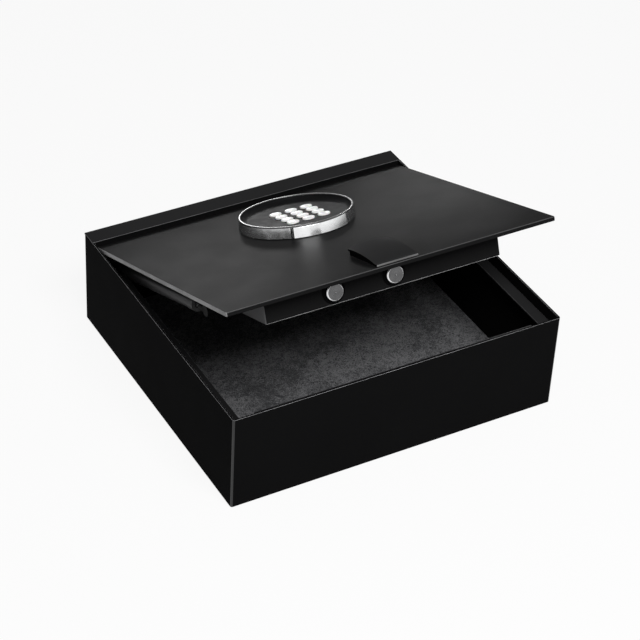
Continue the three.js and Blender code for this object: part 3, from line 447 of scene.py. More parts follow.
def coats(case, lid, pull):
    """Makers of the painted finishes."""
    return {
        "case paint": lambda: powder_coat("case_powder", case.paint, roughness=0.6, ior=1.03, cloud=0.03),
        # The case's fold and rim coats are painted highlights along its edges.
        "case fold highlight": lambda: edge_highlight_and_wear("case_fold_highlight", shade(case.edge, 0.1)),
        "case rim highlight": lambda: edge_highlight_and_wear("case_rim_highlight", shade(case.edge, 5.0)),
        # A lighter copy of the case coat, painted light on the header's top and the right ledge.
        "case coat painted lighter": lambda: powder_coat("case_powder_painted_lighter", shade(case.paint, 3.2), roughness=0.5, ior=1.05),
        # Painted highlight along the header's front fold and the ledges' edges.
        "header and ledge highlight": lambda: edge_highlight_and_wear("header_and_ledge_highlight", shade(case.edge, 1.2)),
        "ledge paint": lambda: powder_coat("ledge_powder", shade(case.paint, 1.6), roughness=0.5, ior=1.06),
        "lug": lambda: powder_coat("lug_powder", shade(case.paint, 0.5), roughness=0.6, ior=1.03),
        "lid paint": lambda: powder_coat("lid_powder", lid.paint, roughness=0.38, ior=1.04),
        # Painted highlights on the lid's front rounding and sides, and a lighter front face painted as light.
        "lid edge highlight": lambda: edge_highlight_and_wear("lid_edge_highlight", lid.edge),
        "lid side highlight": lambda: edge_highlight_and_wear("lid_side_highlight", lid.side, roughness=0.5),
        "lid front painted lighter": lambda: powder_coat("lid_front_painted_lighter", shade(lid.paint, 1.4), roughness=0.55, ior=1.04),
        "housing paint": lambda: powder_coat(
            "housing_powder", shade(lid.paint, 1.3), roughness=0.5, ior=1.05,
        ),
        # Painted highlight on the housing's lower front fold and the battery door's roundings; its ends painted
        # lighter as light.
        "housing edge highlight": lambda: edge_highlight_and_wear("housing_edge_highlight", shade(lid.side, 3.1)),
        "housing end painted lighter": lambda: powder_coat(
            "housing_end_painted_lighter", shade(lid.paint, 14.0), roughness=0.5, ior=1.1,
        ),
        "pull paint": lambda: powder_coat("pull_powder", pull.paint, roughness=0.45, ior=1.04),
        # Painted highlight on the pull's front edge, and painted shade under it and on its cheeks.
        "pull edge highlight": lambda: edge_highlight_and_wear("pull_edge_highlight", shade(lid.side, 0.55)),
        "pull painted shade": lambda: powder_coat("pull_painted_shade", shade(pull.paint, 0.2), roughness=0.7, ior=1.02),
    }


def metals(case, lock, keypad):
    """Makers of the plated, turned and chromed finishes."""
    rod = (0.55, 0.555, 0.56)
    return {
        "plated": lambda: plated_steel("dark_plating", case.bracket, roughness=0.42, metallic=0.6),
        # Painted highlight along the plated parts' rounded edges, broken by nicks of wear.
        "plated edge highlight": lambda: edge_highlight_and_wear("plating_edge_highlight", shade(case.bracket, 4.0)),
        "zinc": lambda: plated_steel("bright_zinc", lock.zinc, roughness=0.3),
        "bolt": lambda: turned_steel("turned_bolt", lock.steel),
        # Painted highlight on the bolt's end chamfer, as a much lighter copy of its steel.
        "bolt chamfer highlight": lambda: turned_steel("bolt_chamfer_highlight", shade(lock.steel, 6.0), roughness=0.25),
        "chrome": lambda: chrome_plate("ring_plate", keypad.chrome),
        # The rim coat is the chrome painted darker: painted shade that takes down the rim's reflection.
        "rim": lambda: chrome_plate("rim_plate_painted_darker", shade(keypad.chrome, 0.11)),
        "rod": lambda: chrome_plate("rod_plate", rod),
    }


def plastics(keypad, felt):
    """Makers of the plastic, rubber and felt finishes."""
    dark = shade(keypad.face, 0.3)
    tube = (0.050, 0.050, 0.051)
    return {
        "collar": lambda: moulded_plastic("collar_plastic", dark, roughness=0.5, ior=1.05),
        "socket": lambda: moulded_plastic("socket_plastic", dark, roughness=0.5, ior=1.1),
        "black": lambda: moulded_plastic("black_plastic", shade(keypad.face, 1.4), roughness=0.45),
        "dish": lambda: moulded_plastic("dish_plastic", keypad.face, 0.4, 900.0, 0.02 * MM, ior=1.07),
        "tube": lambda: moulded_plastic("tube_lacquer", tube, 0.35, 500.0, 0.01 * MM, ior=1.15),
        "digit": lambda: moulded_plastic("digit_ink", keypad.digit, roughness=0.5),
        "key": lambda: key_plastic("key_plastic", keypad.key),
        "felt": lambda: needled_felt("needled_felt", shade(felt.dark, 0.6), shade(felt.light, 0.92)),
        "rubber": lambda: rubber_strip("bumper_rubber"),
        "board": lambda: circuit_board("board_resist"),
        "cell": lambda: cell_jacket("cell_film"),
    }


FINISHES = {}


def finish(name):
    """The named finish, made once."""
    if name not in FINISHES:
        scene = bpy.context.scene
        makers = coats(scene.box_case, scene.box_lid, scene.box_pull)
        makers |= metals(scene.box_case, scene.box_lock, scene.box_keypad)
        makers |= plastics(scene.box_keypad, scene.box_felt)
        FINISHES[name] = makers[name]()
    return FINISHES[name]


# Mesh making

def new_piece(name, vertices, faces, finishes, place=None, smooth=35.0, face_finish=None):
    """A closed mesh with outward faces, smooth apart from edges sharper than the given angle."""
    mesh = bpy.data.meshes.new(name)
    mesh.from_pydata([tuple(v) for v in vertices], [], faces)
    if face_finish is not None:
        mesh.polygons.foreach_set("material_index", face_finish)
    shape = bmesh.new()
    shape.from_mesh(mesh)
    bmesh.ops.remove_doubles(shape, verts=shape.verts, dist=0.001 * MM)
    bmesh.ops.recalc_face_normals(shape, faces=shape.faces)
    shape.to_mesh(mesh)
    shape.free()
    for kind in finishes:
        mesh.materials.append(finish(kind))
    smooth_faces(mesh, smooth)
    piece = bpy.data.objects.new(name, mesh)
    bpy.context.scene.collection.objects.link(piece)
    if place is not None:
        piece.matrix_world = place
    return piece


def smooth_faces(mesh, angle):
    """Smooth shading, broken at edges sharper than the angle in degrees."""
    mesh.polygons.foreach_set("use_smooth", [True] * len(mesh.polygons))
    mesh.set_sharp_from_angle(angle=math.radians(angle))


def round_edges(piece, width, segments=3, angle=30.0, edge_finish=-1):
    """Rounds the sharp edges, and gives the rounding its own finish where one is named."""
    rounding = piece.modifiers.new("rounded edges", "BEVEL")
    rounding.width = width
    rounding.segments = segments
    rounding.limit_method = "ANGLE"
    rounding.angle_limit = math.radians(angle)
    rounding.harden_normals = True
    rounding.material = edge_finish


def seat(piece, body, node):
    """The piece rides on its body and stands for the CAD node."""
    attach(piece, body)
    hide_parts(node)


def body_of(node):
    bodies = frame["record"]["behaviour"]["bodies"]
    return next(body for body, members in bodies.items() if node in members)


def settled(piece):
    """The piece's mesh with its modifiers applied."""
    graph = bpy.context.evaluated_depsgraph_get()
    return bpy.data.meshes.new_from_object(piece.evaluated_get(graph))


def settle(piece):
    """Puts the applied mesh in the place of the piece's modifiers."""
    mesh = settled(piece)
    piece.modifiers.clear()
    piece.data = mesh


def sort_faces(piece, choose):
    """Applies the modifiers, and gives each face the finish named for its centre and direction."""
    settle(piece)
    kinds = [choose(face.center, face.normal) for face in piece.data.polygons]
    piece.data.polygons.foreach_set("material_index", kinds)


def from_frame(node, name, finishes, width, segments=3, place=None, choose=None):
    """A copy of a CAD node's shape with merged flats and rounded edges.

    The roundings take the second finish, where there is one. The choose function, where given,
    sets the finish of each face by its centre and direction instead."""
    back = (place or Matrix.Identity(4)).inverted()
    source = frame["nodes"][node].data
    shape = bmesh.new()
    corners = [shape.verts.new(back @ vertex.co) for vertex in source.vertices]
    for polygon in source.polygons:
        shape.faces.new([corners[i] for i in polygon.vertices])
    bmesh.ops.remove_doubles(shape, verts=shape.verts, dist=0.002 * MM)
    bmesh.ops.dissolve_limit(
        shape, angle_limit=math.radians(0.6), verts=shape.verts, edges=shape.edges,
    )
    shape.verts.index_update()
    vertices = [vertex.co.copy() for vertex in shape.verts]
    faces = [[vertex.index for vertex in face.verts] for face in shape.faces]
    shape.free()
    piece = new_piece(name, vertices, faces, finishes, place)
    round_edges(piece, width, segments, edge_finish=1 if len(finishes) > 1 else -1)
    if choose:
        sort_faces(piece, choose)
    seat(piece, body_of(node), node)


def layered_faces(rows, columns):
    """Faces of two layers of points, (rows + 1) by (columns + 1) each, closed round their rim."""
    width = columns + 1
    layer = (rows + 1) * width
    faces = []
    for row in range(rows):
        for column in range(columns):
            a = row * width + column
            quad = (a, a + 1, a + width + 1, a + width)
            faces.append(quad)
            faces.append(tuple(layer + i for i in quad))
    rim = list(range(columns))
    rim += [columns + row * width for row in range(rows)]
    rim += [rows * width + column for column in range(columns, 0, -1)]
    rim += [row * width for row in range(rows, 0, -1)]
    for a, b in zip(rim, rim[1:] + rim[:1]):
        faces.append((a, b, b + layer, a + layer))
    return faces


def turned(profile, segments, closed=False):
    """Vertices and faces of a profile of radius and height turned about Z."""
    vertices = []
    rows = []
    for radius, height in profile:
        if radius == 0:
            rows.append([len(vertices)] * segments)
            vertices.append((0.0, 0.0, height))
            continue
        rows.append(list(range(len(vertices), len(vertices) + segments)))
        for step in range(segments):
            angle = 2 * math.pi * step / segments
            vertices.append((radius * math.cos(angle), radius * math.sin(angle), height))
    faces = []
    following_rows = rows[1:] + rows[:1] if closed else rows[1:]
    for lower, upper in zip(rows, following_rows):
        for step in range(segments):
            after = (step + 1) % segments
            corners = dict.fromkeys((lower[step], lower[after], upper[after], upper[step]))
            if len(corners) > 2:
                faces.append(tuple(corners))
    return vertices, faces


def arc_points(centre, radius, start, end, steps):
    """Points of radius and height on an arc, from one angle to another in degrees."""
    points = []
    for step in range(steps + 1):
        angle = math.radians(start + (end - start) * step / steps)
        points.append((centre[0] + radius * math.cos(angle), centre[1] + radius * math.sin(angle)))
    return points


def lying(node):
    """The place of a piece turned about Z that lies along the lid, from a CAD node's front end."""
    box = extent(node, LID)
    centre = middle(box)
    return LID @ Matrix.Translation((centre.x, box[0].y, centre.z)) @ Matrix.Rotation(-math.pi / 2, 4, "X")


# Pieces

class BOX_OT_case(bpy.types.Operator):
    """Build the folded case, its header channel and the ledges inside"""

    bl_idname = "strongbox.case"
    bl_label = "Case, header and ledges"

    def execute(self, context):
        radius = context.scene.box_case.fold_radius
        case_coats = ("case paint", "case fold highlight", "case rim highlight")
        header_coats = ("case coat painted lighter", "header and ledge highlight", "case paint")
        from_frame("case_shell", "case_body", case_coats, radius, choose=self.case_finish)
        from_frame(
            "rear_header", "header_channel", header_coats, radius, choose=self.header_finish,
        )
        # Each ledge takes a lighter copy of the case coat, painted light, the right one lighter where more light
        # falls; their roundings take the painted edge highlight.
        for side, paint in (("left", "ledge paint"), ("right", "case coat painted lighter")):
            ledge_coats = (paint, "header and ledge highlight")
            from_frame(f"ledge_{side}", f"inner_ledge_{side}", ledge_coats, radius / 2)
        return {"FINISHED"}

    def case_finish(self, centre, direction):
        """The walls' outer top roundings bright with painted highlight, and the upright folds a little lighter
        with painted highlight.
        """
        outward = direction.x * centre.x > 0.0 or direction.y * centre.y > 0.0
        if centre.z > CASE_TOP - MM and direction.z > LEAN:
            return 2 if direction.z < FLAT and outward else 0
        return int(abs(direction.x) > LEAN and abs(direction.y) > LEAN and outward)

    def header_finish(self, centre, direction):
        """The header's top in a lighter copy of the case coat, painted light; its front fold with a painted
        highlight; the rest as the case.
        """
        if direction.z > FLAT:
            return 0
        return 1 if direction.z > LEAN else 2


class BOX_OT_keeper(bpy.types.Operator):
    """Build the keeper angle, its rubber bumper and the floor plugs"""

    bl_idname = "strongbox.keeper"
    bl_label = "Keeper, bumper and plugs"
    plug_lip = 1.8 * MM
    plug_head = 0.8 * MM
    plug_lead = 0.5 * MM
    plug_round = 0.3 * MM
    keeper_edge = 0.4 * MM
    bumper_edge = 0.3 * MM

    def execute(self, context):
        # The keeper's roundings take the painted edge highlight.
        plating = ("plated", "plated edge highlight")
        from_frame("front_keeper", "keeper_angle", plating, self.keeper_edge)
        from_frame("front_bumper", "bumper_strip", ("rubber",), self.bumper_edge)
        for row in ("front", "rear"):
            for side in SIDES:
                self.plug(f"hole_plug_{row}_{side}", f"floor_plug_{row}_{side}")
        return {"FINISHED"}

    def plug(self, node, name):
        """A stem in the hole, with a wider head over the floor."""
        box = extent(node)
        low, high = box[0].z, box[1].z
        head = half_width(box)
        stem = head - self.plug_lip
        under = high - self.plug_head
        lead, rounding = self.plug_lead, self.plug_round
        profile = [(0, low), (stem - lead, low), (stem, low + lead), (stem, under), (head, under)]
        profile += [(head, high - rounding), (head - rounding, high), (0, high)]
        place = Matrix.Translation((middle(box).x, middle(box).y, 0))
        piece = new_piece(name, *turned(profile, segments=40), ("black",), place)
        seat(piece, "case", node)


class BOX_OT_felt(bpy.types.Operator):
    """Lay the felt lining on the floor of the case"""

    bl_idname = "strongbox.felt"
    bl_label = "Felt lining"
    pressed_depth = 0.8 * MM
    pressed_width = 2.0 * MM
    tufts_per_metre = 90
    waves_per_metre = 22
    tuft_share = 0.6

    def execute(self, context):
        settings = context.scene.box_felt
        size = FELT[1] - FELT[0]
        across = int(size.x / settings.cell)
        deep = int(size.y / settings.cell)
        vertices = []
        for top in (False, True):
            for row in range(deep + 1):
                for column in range(across + 1):
                    x = FELT[0].x + size.x * column / across
                    y = FELT[0].y + size.y * row / deep
                    vertices.append((x, y, self.height(x, y, settings.nap) if top else FELT[0].z))
        piece = new_piece("felt_lining", vertices, layered_faces(deep, across), ("felt",), smooth=60.0)
        seat(piece, "case", "felt_floor")
        return {"FINISHED"}

    def height(self, x, y, nap):
        """The felt's upper face: pressed edges and a slightly tufted middle, under its full height."""
        inset = min(x - FELT[0].x, FELT[1].x - x, y - FELT[0].y, FELT[1].y - y)
        pressed = self.pressed_depth * math.exp(-inset / self.pressed_width)
        tufts = self.ripple(x, y, self.tufts_per_metre, 0.3)
        waves = self.ripple(x, y, self.waves_per_metre, 4.1)
        sunk = self.tuft_share * tufts + (1 - self.tuft_share) * waves
        return FELT[1].z - pressed - nap * sunk

    def ripple(self, x, y, per_metre, level):
        """A smooth value from 0 to 1 over the plane, another one at each level."""
        return 0.5 + 0.5 * noise.noise(Vector((x * per_metre, y * per_metre, level)))


class BOX_OT_lid(bpy.types.Operator):
    """Build the lid plate, the lock housing under it and the battery door"""

    bl_idname = "strongbox.lid"
    bl_label = "Lid and lock housing"

    def execute(self, context):
        radius = context.scene.box_lid.edge_radius
        plate_coats = ("lid paint", "lid edge highlight", "lid side highlight", "lid front painted lighter")
        pan_coats = ("housing paint", "housing edge highlight", "housing end painted lighter")
        for node, name, coats_used, choose in (
            ("lid_plate", "lid_top", plate_coats, self.plate_finish),
            ("lock_housing", "lock_pan", pan_coats, self.housing_finish),
            # The battery door's roundings take the housing's painted edge highlight.
            ("battery_cover", "battery_door", pan_coats[:2], None),
        ):
            from_frame(node, name, coats_used, radius, place=LID, choose=choose)
        return {"FINISHED"}

    def plate_finish(self, centre, direction):
        """The plate's narrow faces: painted highlight on the sides and on the front's upper rounding, and the
        front a duller, lighter copy of the coat, painted light.
        """
        if abs(direction.x) > 0.4 and direction.z > -0.5:
            return 2
        if direction.y < -LEAN:
            return 1 if direction.z > LEAN else 3
        return 0

    def housing_finish(self, centre, direction):
        """The housing's lower front fold bright with painted highlight, and its ends a much lighter copy of the
        coat, painted light.
        """
        if abs(direction.x) > 0.5:
            return 2
        return int(direction.y < -LEAN and direction.z < -LEAN)


class BOX_OT_pull(bpy.types.Operator):
    """Build the arched finger pull"""

    bl_idname = "strongbox.pull"
    bl_label = "Finger pull"
    rows_long = 30
    rows_across = 24
    edge_round = 1.3 * MM
    cheek_wall = 0.8 * MM
    cheek_least = 0.6 * MM
    cheek_foot = 0.1 * MM
    cheek_sunk = 0.2 * MM

    def execute(self, context):
        pull = context.scene.box_pull
        top, bottom = self.side_lines(pull)
        half = half_width(PULL)
        centre = middle(PULL).x
        vertices = []
        for y, z in top + bottom:
            vertices += self.row(y, z, pull)
        faces = layered_faces(len(top) - 1, self.rows_across)
        # The cheeks take the leaf's painted shade coat, dark as the shade under its sides.
        for side in (-1, 1):
            self.cheek(vertices, faces, centre + side * (half - pull.sheet / 2), bottom, pull)
        piece = new_piece("pull_leaf", vertices, faces, ("pull paint", "pull edge highlight", "pull painted shade"), LID)
        round_edges(piece, self.edge_round, segments=4, angle=50.0)
        sort_faces(piece, self.leaf_finish)
        piece.data.transform(LID)
        piece.matrix_world = Matrix.Identity(4)
        seat(piece, "lid", "finger_pull")
        return {"FINISHED"}

    def side_lines(self, pull):
        """The leaf's upper and lower line seen from the side, from its foot to its back edge."""
        front, floor = PULL[0].y, PULL[0].z
        start = Vector((front + pull.foot, floor + pull.sheet))
        chord = Vector((PULL[1].y, floor + pull.rise)) - start
        normal = Vector((-chord.y, chord.x)).normalized()
        top = [(front, floor + pull.sheet), (front + pull.foot / 2, floor + pull.sheet)]
        bottom = [(front, floor), (front + pull.foot / 2, floor)]
        for step in range(self.rows_long + 1):
            t = math.sin(math.pi / 2 * step / self.rows_long)
            point = start + chord * t + normal * (4 * pull.bulge * t * (1 - t))
            slope = (chord + normal * (4 * pull.bulge * (1 - 2 * t))).normalized()
            top.append(tuple(point))
            under = (point.x + slope.y * pull.sheet, point.y - slope.x * pull.sheet)
            bottom.append((under[0], max(floor, under[1])))
        return top, bottom

    def row(self, y, z, pull):
        """Points across the leaf, narrowed by its back corners and arched in the middle."""
        half = half_width(PULL)
        foot_end = PULL[0].y + pull.foot
        inset = self.corner_inset(y, PULL[1].y, pull.corner)
        run = max(0.0, (y - foot_end) / (PULL[1].y - foot_end))
        points = []
        for column in range(self.rows_across + 1):
            wide = (2 * column / self.rows_across - 1) * (half - inset)
            lift = pull.crown * (1 - (wide / half) ** 2) * run * run
            points.append((middle(PULL).x + wide, y, z + lift))
        return points

    def corner_inset(self, y, back, radius):
        """How much the leaf narrows on each side at y, for its rounded back corners."""
        past = min(radius, max(0.0, y - (back - radius)))
        return radius - math.sqrt(max(0.0, radius * radius - past * past))

    def cheek(self, vertices, faces, x, bottom, pull):
        """A thin wall under one side of the leaf, from its underside down to just over the lid."""
        floor = PULL[0].z
        back = bottom[-1][0] - pull.corner
        line = [(y, z) for y, z in bottom if z > floor + self.cheek_least and y < back]
        first = len(vertices)
        for y, z in line:
            for offset in (-self.cheek_wall / 2, self.cheek_wall / 2):
                vertices.append((x + offset, y, z + self.cheek_sunk))
                vertices.append((x + offset, y, floor + self.cheek_foot))
        for row in range(len(line) - 1):
            a = first + row * 4
            for here, after in ((0, 1), (1, 3), (3, 2), (2, 0)):
                faces.append((a + here, a + after, a + 4 + after, a + 4 + here))
        last = first + (len(line) - 1) * 4
        faces.append((first, first + 1, first + 3, first + 2))
        faces.append((last + 2, last + 3, last + 1, last))

    def leaf_finish(self, centre, direction):
        """Painted highlight along the front edge, painted shade underneath and at the sides."""
        if direction.y < -0.25 and direction.z > -0.35:
            return 1
        return 2 if direction.z < 0.3 and direction.y > -0.5 else 0


class BOX_OT_bolts(bpy.types.Operator):
    """Build the two lock bolts and the collars that guide them"""

    bl_idname = "strongbox.bolts"
    bl_label = "Lock bolts"
    steps_round = 72
    shank_length = 52 * MM
    stem_radius = 6 * MM
    shoulder = 0.5 * MM
    stem_chamfer = 0.6 * MM
    soft = 0.1 * MM
    centre_depth = 0.8
    chamfer_bands = (2, 3, 4)
    collar_clearance = 0.3 * MM
    collar_wall = 1.6 * MM
    collar_lead = 0.5 * MM
    flange_sheet = 1.2 * MM
    flange_round = 0.7 * MM

    def execute(self, context):
        for side in SIDES:
            self.bolt(context.scene.box_lock, side)
            self.collar(side)
        return {"FINISHED"}

    def bolt(self, settings, side):
        """A chamfered round bar with a centre mark in its end and a thinner stem behind."""
        box = extent(f"bolt_{side}", LID)
        radius = half_width(box)
        length = box[1].y - box[0].y
        shank, stem, soft = self.shank_length, self.stem_radius, self.soft
        drill, chamfer = settings.centre_drill, settings.chamfer
        profile = [(0, drill * self.centre_depth), (drill, 0.0), (radius - chamfer - 1.5 * soft, 0.0)]
        profile += [(radius - chamfer, soft / 2), (radius - soft, chamfer - soft), (radius, chamfer + soft)]
        profile += [(radius, shank - self.shoulder), (radius - self.shoulder, shank), (stem, shank)]
        profile += [(stem, length - self.stem_chamfer), (stem - self.stem_chamfer, length), (0, length)]
        vertices, faces = turned(profile, self.steps_round)
        # Faces of the end chamfer take the painted highlight coat.
        kinds = [int(face // self.steps_round in self.chamfer_bands) for face in range(len(faces))]
        place = lying(f"bolt_{side}")
        finishes = ("bolt", "bolt chamfer highlight")
        piece = new_piece(f"lock_bolt_{side}", vertices, faces, finishes, place, face_finish=kinds)
        seat(piece, "lock_bolts", f"bolt_{side}")

    def collar(self, side):
        """A flanged sleeve round the bolt."""
        box = extent(f"bolt_bush_{side}", LID)
        flange = half_width(box)
        depth = box[1].y - box[0].y
        bore = half_width(extent(f"bolt_{side}", LID)) + self.collar_clearance
        sleeve = bore + self.collar_wall
        rounding = self.flange_round
        profile = [(bore, self.collar_lead), (bore + self.collar_lead, 0.0)]
        profile += arc_points((flange - rounding, rounding), rounding, -90, 0, 4)
        profile += [(flange, self.flange_sheet), (sleeve, self.flange_sheet), (sleeve, depth), (bore, depth)]
        vertices, faces = turned(profile, self.steps_round, closed=True)
        place = lying(f"bolt_bush_{side}")
        piece = new_piece(f"bolt_collar_{side}", vertices, faces, ("collar",), place)
        seat(piece, "lid", f"bolt_bush_{side}")


class BOX_OT_ring(bpy.types.Operator):
    """Build the chrome ring and its removable cover"""

    bl_idname = "strongbox.ring"
    bl_label = "Keypad ring and cover"
    foot_chamfer = 0.3 * MM
    foot_toe = 0.5 * MM
    cover_gap_inside = 0.2 * MM
    cover_gap_below = 0.1 * MM
    cover_gap_above = 0.06 * MM
    cover_steps = 56

    def execute(self, context):
        keypad = context.scene.box_keypad
        box = extent("keypad_ring", KEYPAD)
        floor, top = box[0].z, box[1].z
        outer = half_width(box)
        inner = outer - keypad.ring_wall
        window_top = top - keypad.rim_left
        window_edge = outer + keypad.rim_left * math.tan(keypad.draft)
        foot_edge = outer + (top - floor) * math.tan(keypad.draft)
        toe = self.foot_toe
        upper = [(window_edge, window_top)]
        upper += self.rim(inner, outer, top, keypad.rim_round)
        upper += [(inner, window_top)]
        lower = [(inner, floor + self.foot_chamfer), (inner + self.foot_chamfer, floor)]
        lower += [(foot_edge - toe, floor), (foot_edge - toe / 5, floor + toe * 0.8)]
        self.ring(keypad, upper, lower, keypad.cover_half_angle + keypad.groove / outer)
        cover_foot = window_edge + (window_top - floor) * math.tan(keypad.cover_draft)
        cover_inner = inner + self.cover_gap_inside
        cover_floor = floor + self.cover_gap_below
        cover_top = window_top - self.cover_gap_above
        wall = [(cover_inner, cover_floor), (cover_foot, cover_floor)]
        wall += [(window_edge, cover_top), (cover_inner, cover_top)]
        self.cover(keypad, wall)
        return {"FINISHED"}

    def rim(self, inner, outer, top, rounding):
        """The ring's two rounded upper edges."""
        points = arc_points((outer - rounding, top - rounding), rounding, 0, 90, 6)
        points += arc_points((inner + rounding, top - rounding), rounding, 90, 180, 6)
        return points

    def angles(self, segments, gap_angle):
        """Angles from the front, with a step exactly at each edge of the window."""
        in_window = max(4, round(segments * gap_angle / math.pi))
        outside = segments - in_window
        angles = [-gap_angle + 2 * gap_angle * i / in_window for i in range(in_window)]
        rest = 2 * math.pi - 2 * gap_angle
        angles += [gap_angle + rest * i / outside for i in range(outside)]
        return angles, in_window

    def ring(self, keypad, upper, lower, gap_angle):
        """A full rim over a lower wall that is open where the cover sits."""
        angles, in_window = self.angles(keypad.segments, gap_angle)
        profile = upper + lower
        count = len(profile)
        vertices = []
        for angle in angles:
            vertices += self.station(profile, angle)
        upper_last = len(upper) - 1
        faces = []
        for step in range(len(angles)):
            here = step * count
            after = (step + 1) % len(angles) * count
            for i in range(count):
                j = (i + 1) % count
                if i < upper_last or step >= in_window:
                    faces.append((here + i, here + j, after + j, after + i))
            if step < in_window:
                faces.append((here, here + upper_last, after + upper_last, after))
        for edge in (0, in_window):
            faces.append(tuple(edge * count + i for i in [0] + list(range(upper_last, count))))
        post = [profile[-1], profile[0], profile[upper_last], profile[upper_last + 1]]
        middle_angle = (gap_angle + keypad.cover_half_angle) / 2
        half_post = keypad.post / 2 / profile[0][0]
        for side in (-1, 1):
            span = (side * middle_angle - half_post, side * middle_angle + half_post)
            self.wall(vertices, faces, post, span, 2)
        piece = new_piece("chrome_ring", vertices, faces, ("chrome", "rim"), KEYPAD, smooth=40.0)
        round_edges(piece, width=0.25 * MM, segments=2, angle=60.0)
        # Upward faces over the window take the rim coat, the chrome painted darker as painted shade.
        sort_faces(piece, lambda centre, direction: int(direction.z > 0.1 and centre.z > profile[0][1]))
        seat(piece, "lid", "keypad_ring")

    def station(self, profile, angle):
        """A profile of radius and height, stood at an angle from the front."""
        return [(radius * math.sin(angle), -radius * math.cos(angle), height) for radius, height in profile]

    def wall(self, vertices, faces, profile, span, steps):
        """Adds a closed piece of wall: a profile of four corners swept from one angle to another."""
        first = len(vertices)
        for step in range(steps + 1):
            vertices += self.station(profile, span[0] + (span[1] - span[0]) * step / steps)
        faces.append(tuple(first + i for i in range(4)))
        faces.append(tuple(first + steps * 4 + i for i in (3, 2, 1, 0)))
        for step in range(steps):
            a = first + step * 4
            for i in range(4):
                j = (i + 1) % 4
                faces.append((a + i, a + j, a + 4 + j, a + 4 + i))

    def cover(self, keypad, profile):
        """The removable part of the ring's wall."""
        vertices, faces = [], []
        half = keypad.cover_half_angle
        self.wall(vertices, faces, profile, (-half, half), self.cover_steps)
        piece = new_piece("removable_cover", vertices, faces, ("chrome",), KEYPAD, smooth=40.0)
        round_edges(piece, width=0.35 * MM, segments=3, angle=40.0)
        seat(piece, "cover", "override_cover")


def key_size(name):
    """Centre and half widths of a key's cap, above its flange."""
    cap_height = 1.2 * MM
    box = extent(f"key_{name}", KEYPAD)
    cap = [KEYPAD.inverted() @ vertex.co for vertex in frame["nodes"][f"key_{name}"].data.vertices]
    above = [point for point in cap if point.z > box[1].z - cap_height]
    half_x = (max(p.x for p in above) - min(p.x for p in above)) / 2
    half_y = (max(p.y for p in above) - min(p.y for p in above)) / 2
    return middle(box), half_x, half_y


class BOX_OT_face(bpy.types.Operator):
    """Build the dished keypad face with an oval hole for every key, its base and the contacts"""

    bl_idname = "strongbox.face"
    bl_label = "Keypad face"
    curve_steps = 10
    fullness = 0.98
    lip = 0.5 * MM
    lip_drop = 0.2 * MM
    lip_thickness = 1.2
    lip_taper = 0.7
    hole_steps = 56

    def execute(self, context):
        keypad = context.scene.box_keypad
        outer = half_width(FACE)
        foot, rim_top = FACE[0].z, FACE[1].z
        floor = rim_top - keypad.dish_depth
        sheet, post = keypad.dish_sheet, keypad.dish_foot
        under, drop = rim_top - sheet * self.lip_thickness, self.lip_drop
        profile = [(0, floor)]
        profile += self.side(keypad.dish_radius, outer - self.lip, floor, rim_top - drop)
        profile += [(outer - drop, rim_top), (outer, rim_top - 1.25 * drop), (outer, under)]
        profile += [(outer - sheet, under - sheet * self.lip_taper), (post, under - keypad.dish_depth)]
        profile += [(post, foot), (post - sheet, foot), (post - sheet, floor - sheet), (0, floor - sheet)]
        piece = new_piece("keypad_dish", *turned(profile, segments=144), ("dish",), KEYPAD)
        cutter = self.hole_cutter(keypad.key_clear, floor - sheet - MM, floor + MM)
        holes = piece.modifiers.new("key holes", "BOOLEAN")
        holes.object = cutter
        holes.solver = "EXACT"
        bpy.context.view_layer.update()
        settle(piece)
        smooth_faces(piece.data, 35.0)
        bpy.data.objects.remove(cutter)
        round_edges(piece, width=0.2 * MM, segments=2, angle=55.0)
        seat(piece, "lid", "keypad_face")
        from_frame("keypad_base", "dish_base", ("black",), 0.2 * MM, place=KEYPAD)
        from_frame("emergency_contacts", "contact_block", ("zinc",), 0.2 * MM, place=KEYPAD)
        return {"FINISHED"}

    def side(self, flat, lip, floor, top):
        """The dish's side, nearly a quarter ellipse from its flat floor up to its lip."""
        rise = (top - floor) / (1 - math.sqrt(1 - self.fullness))
        points = []
        for step in range(self.curve_steps + 1):
            share = math.sin(math.pi / 2 * step / self.curve_steps)
            height = floor + rise * (1 - math.sqrt(1 - share * share * self.fullness))
            points.append((flat + (lip - flat) * share, height))
        return points

    def hole_cutter(self, clear, bottom, top):
        """Upright oval bars, one through the face at every key."""
        steps = self.hole_steps
        vertices = []
        faces = []
        for name in KEY_NAMES:
            centre, half_x, half_y = key_size(name)
            first = len(vertices)
            for height in (bottom, top):
                for step in range(steps):
                    angle = 2 * math.pi * step / steps
                    x = centre.x + (half_x + clear) * math.cos(angle)
                    vertices.append((x, centre.y + (half_y + clear) * math.sin(angle), height))
            for step in range(steps):
                after = (step + 1) % steps
                faces.append((first + step, first + after, first + steps + after, first + steps + step))
            faces.append(tuple(first + i for i in reversed(range(steps))))
            faces.append(tuple(first + steps + i for i in range(steps)))
        return new_piece("hole_cutter", vertices, faces, (), KEYPAD)


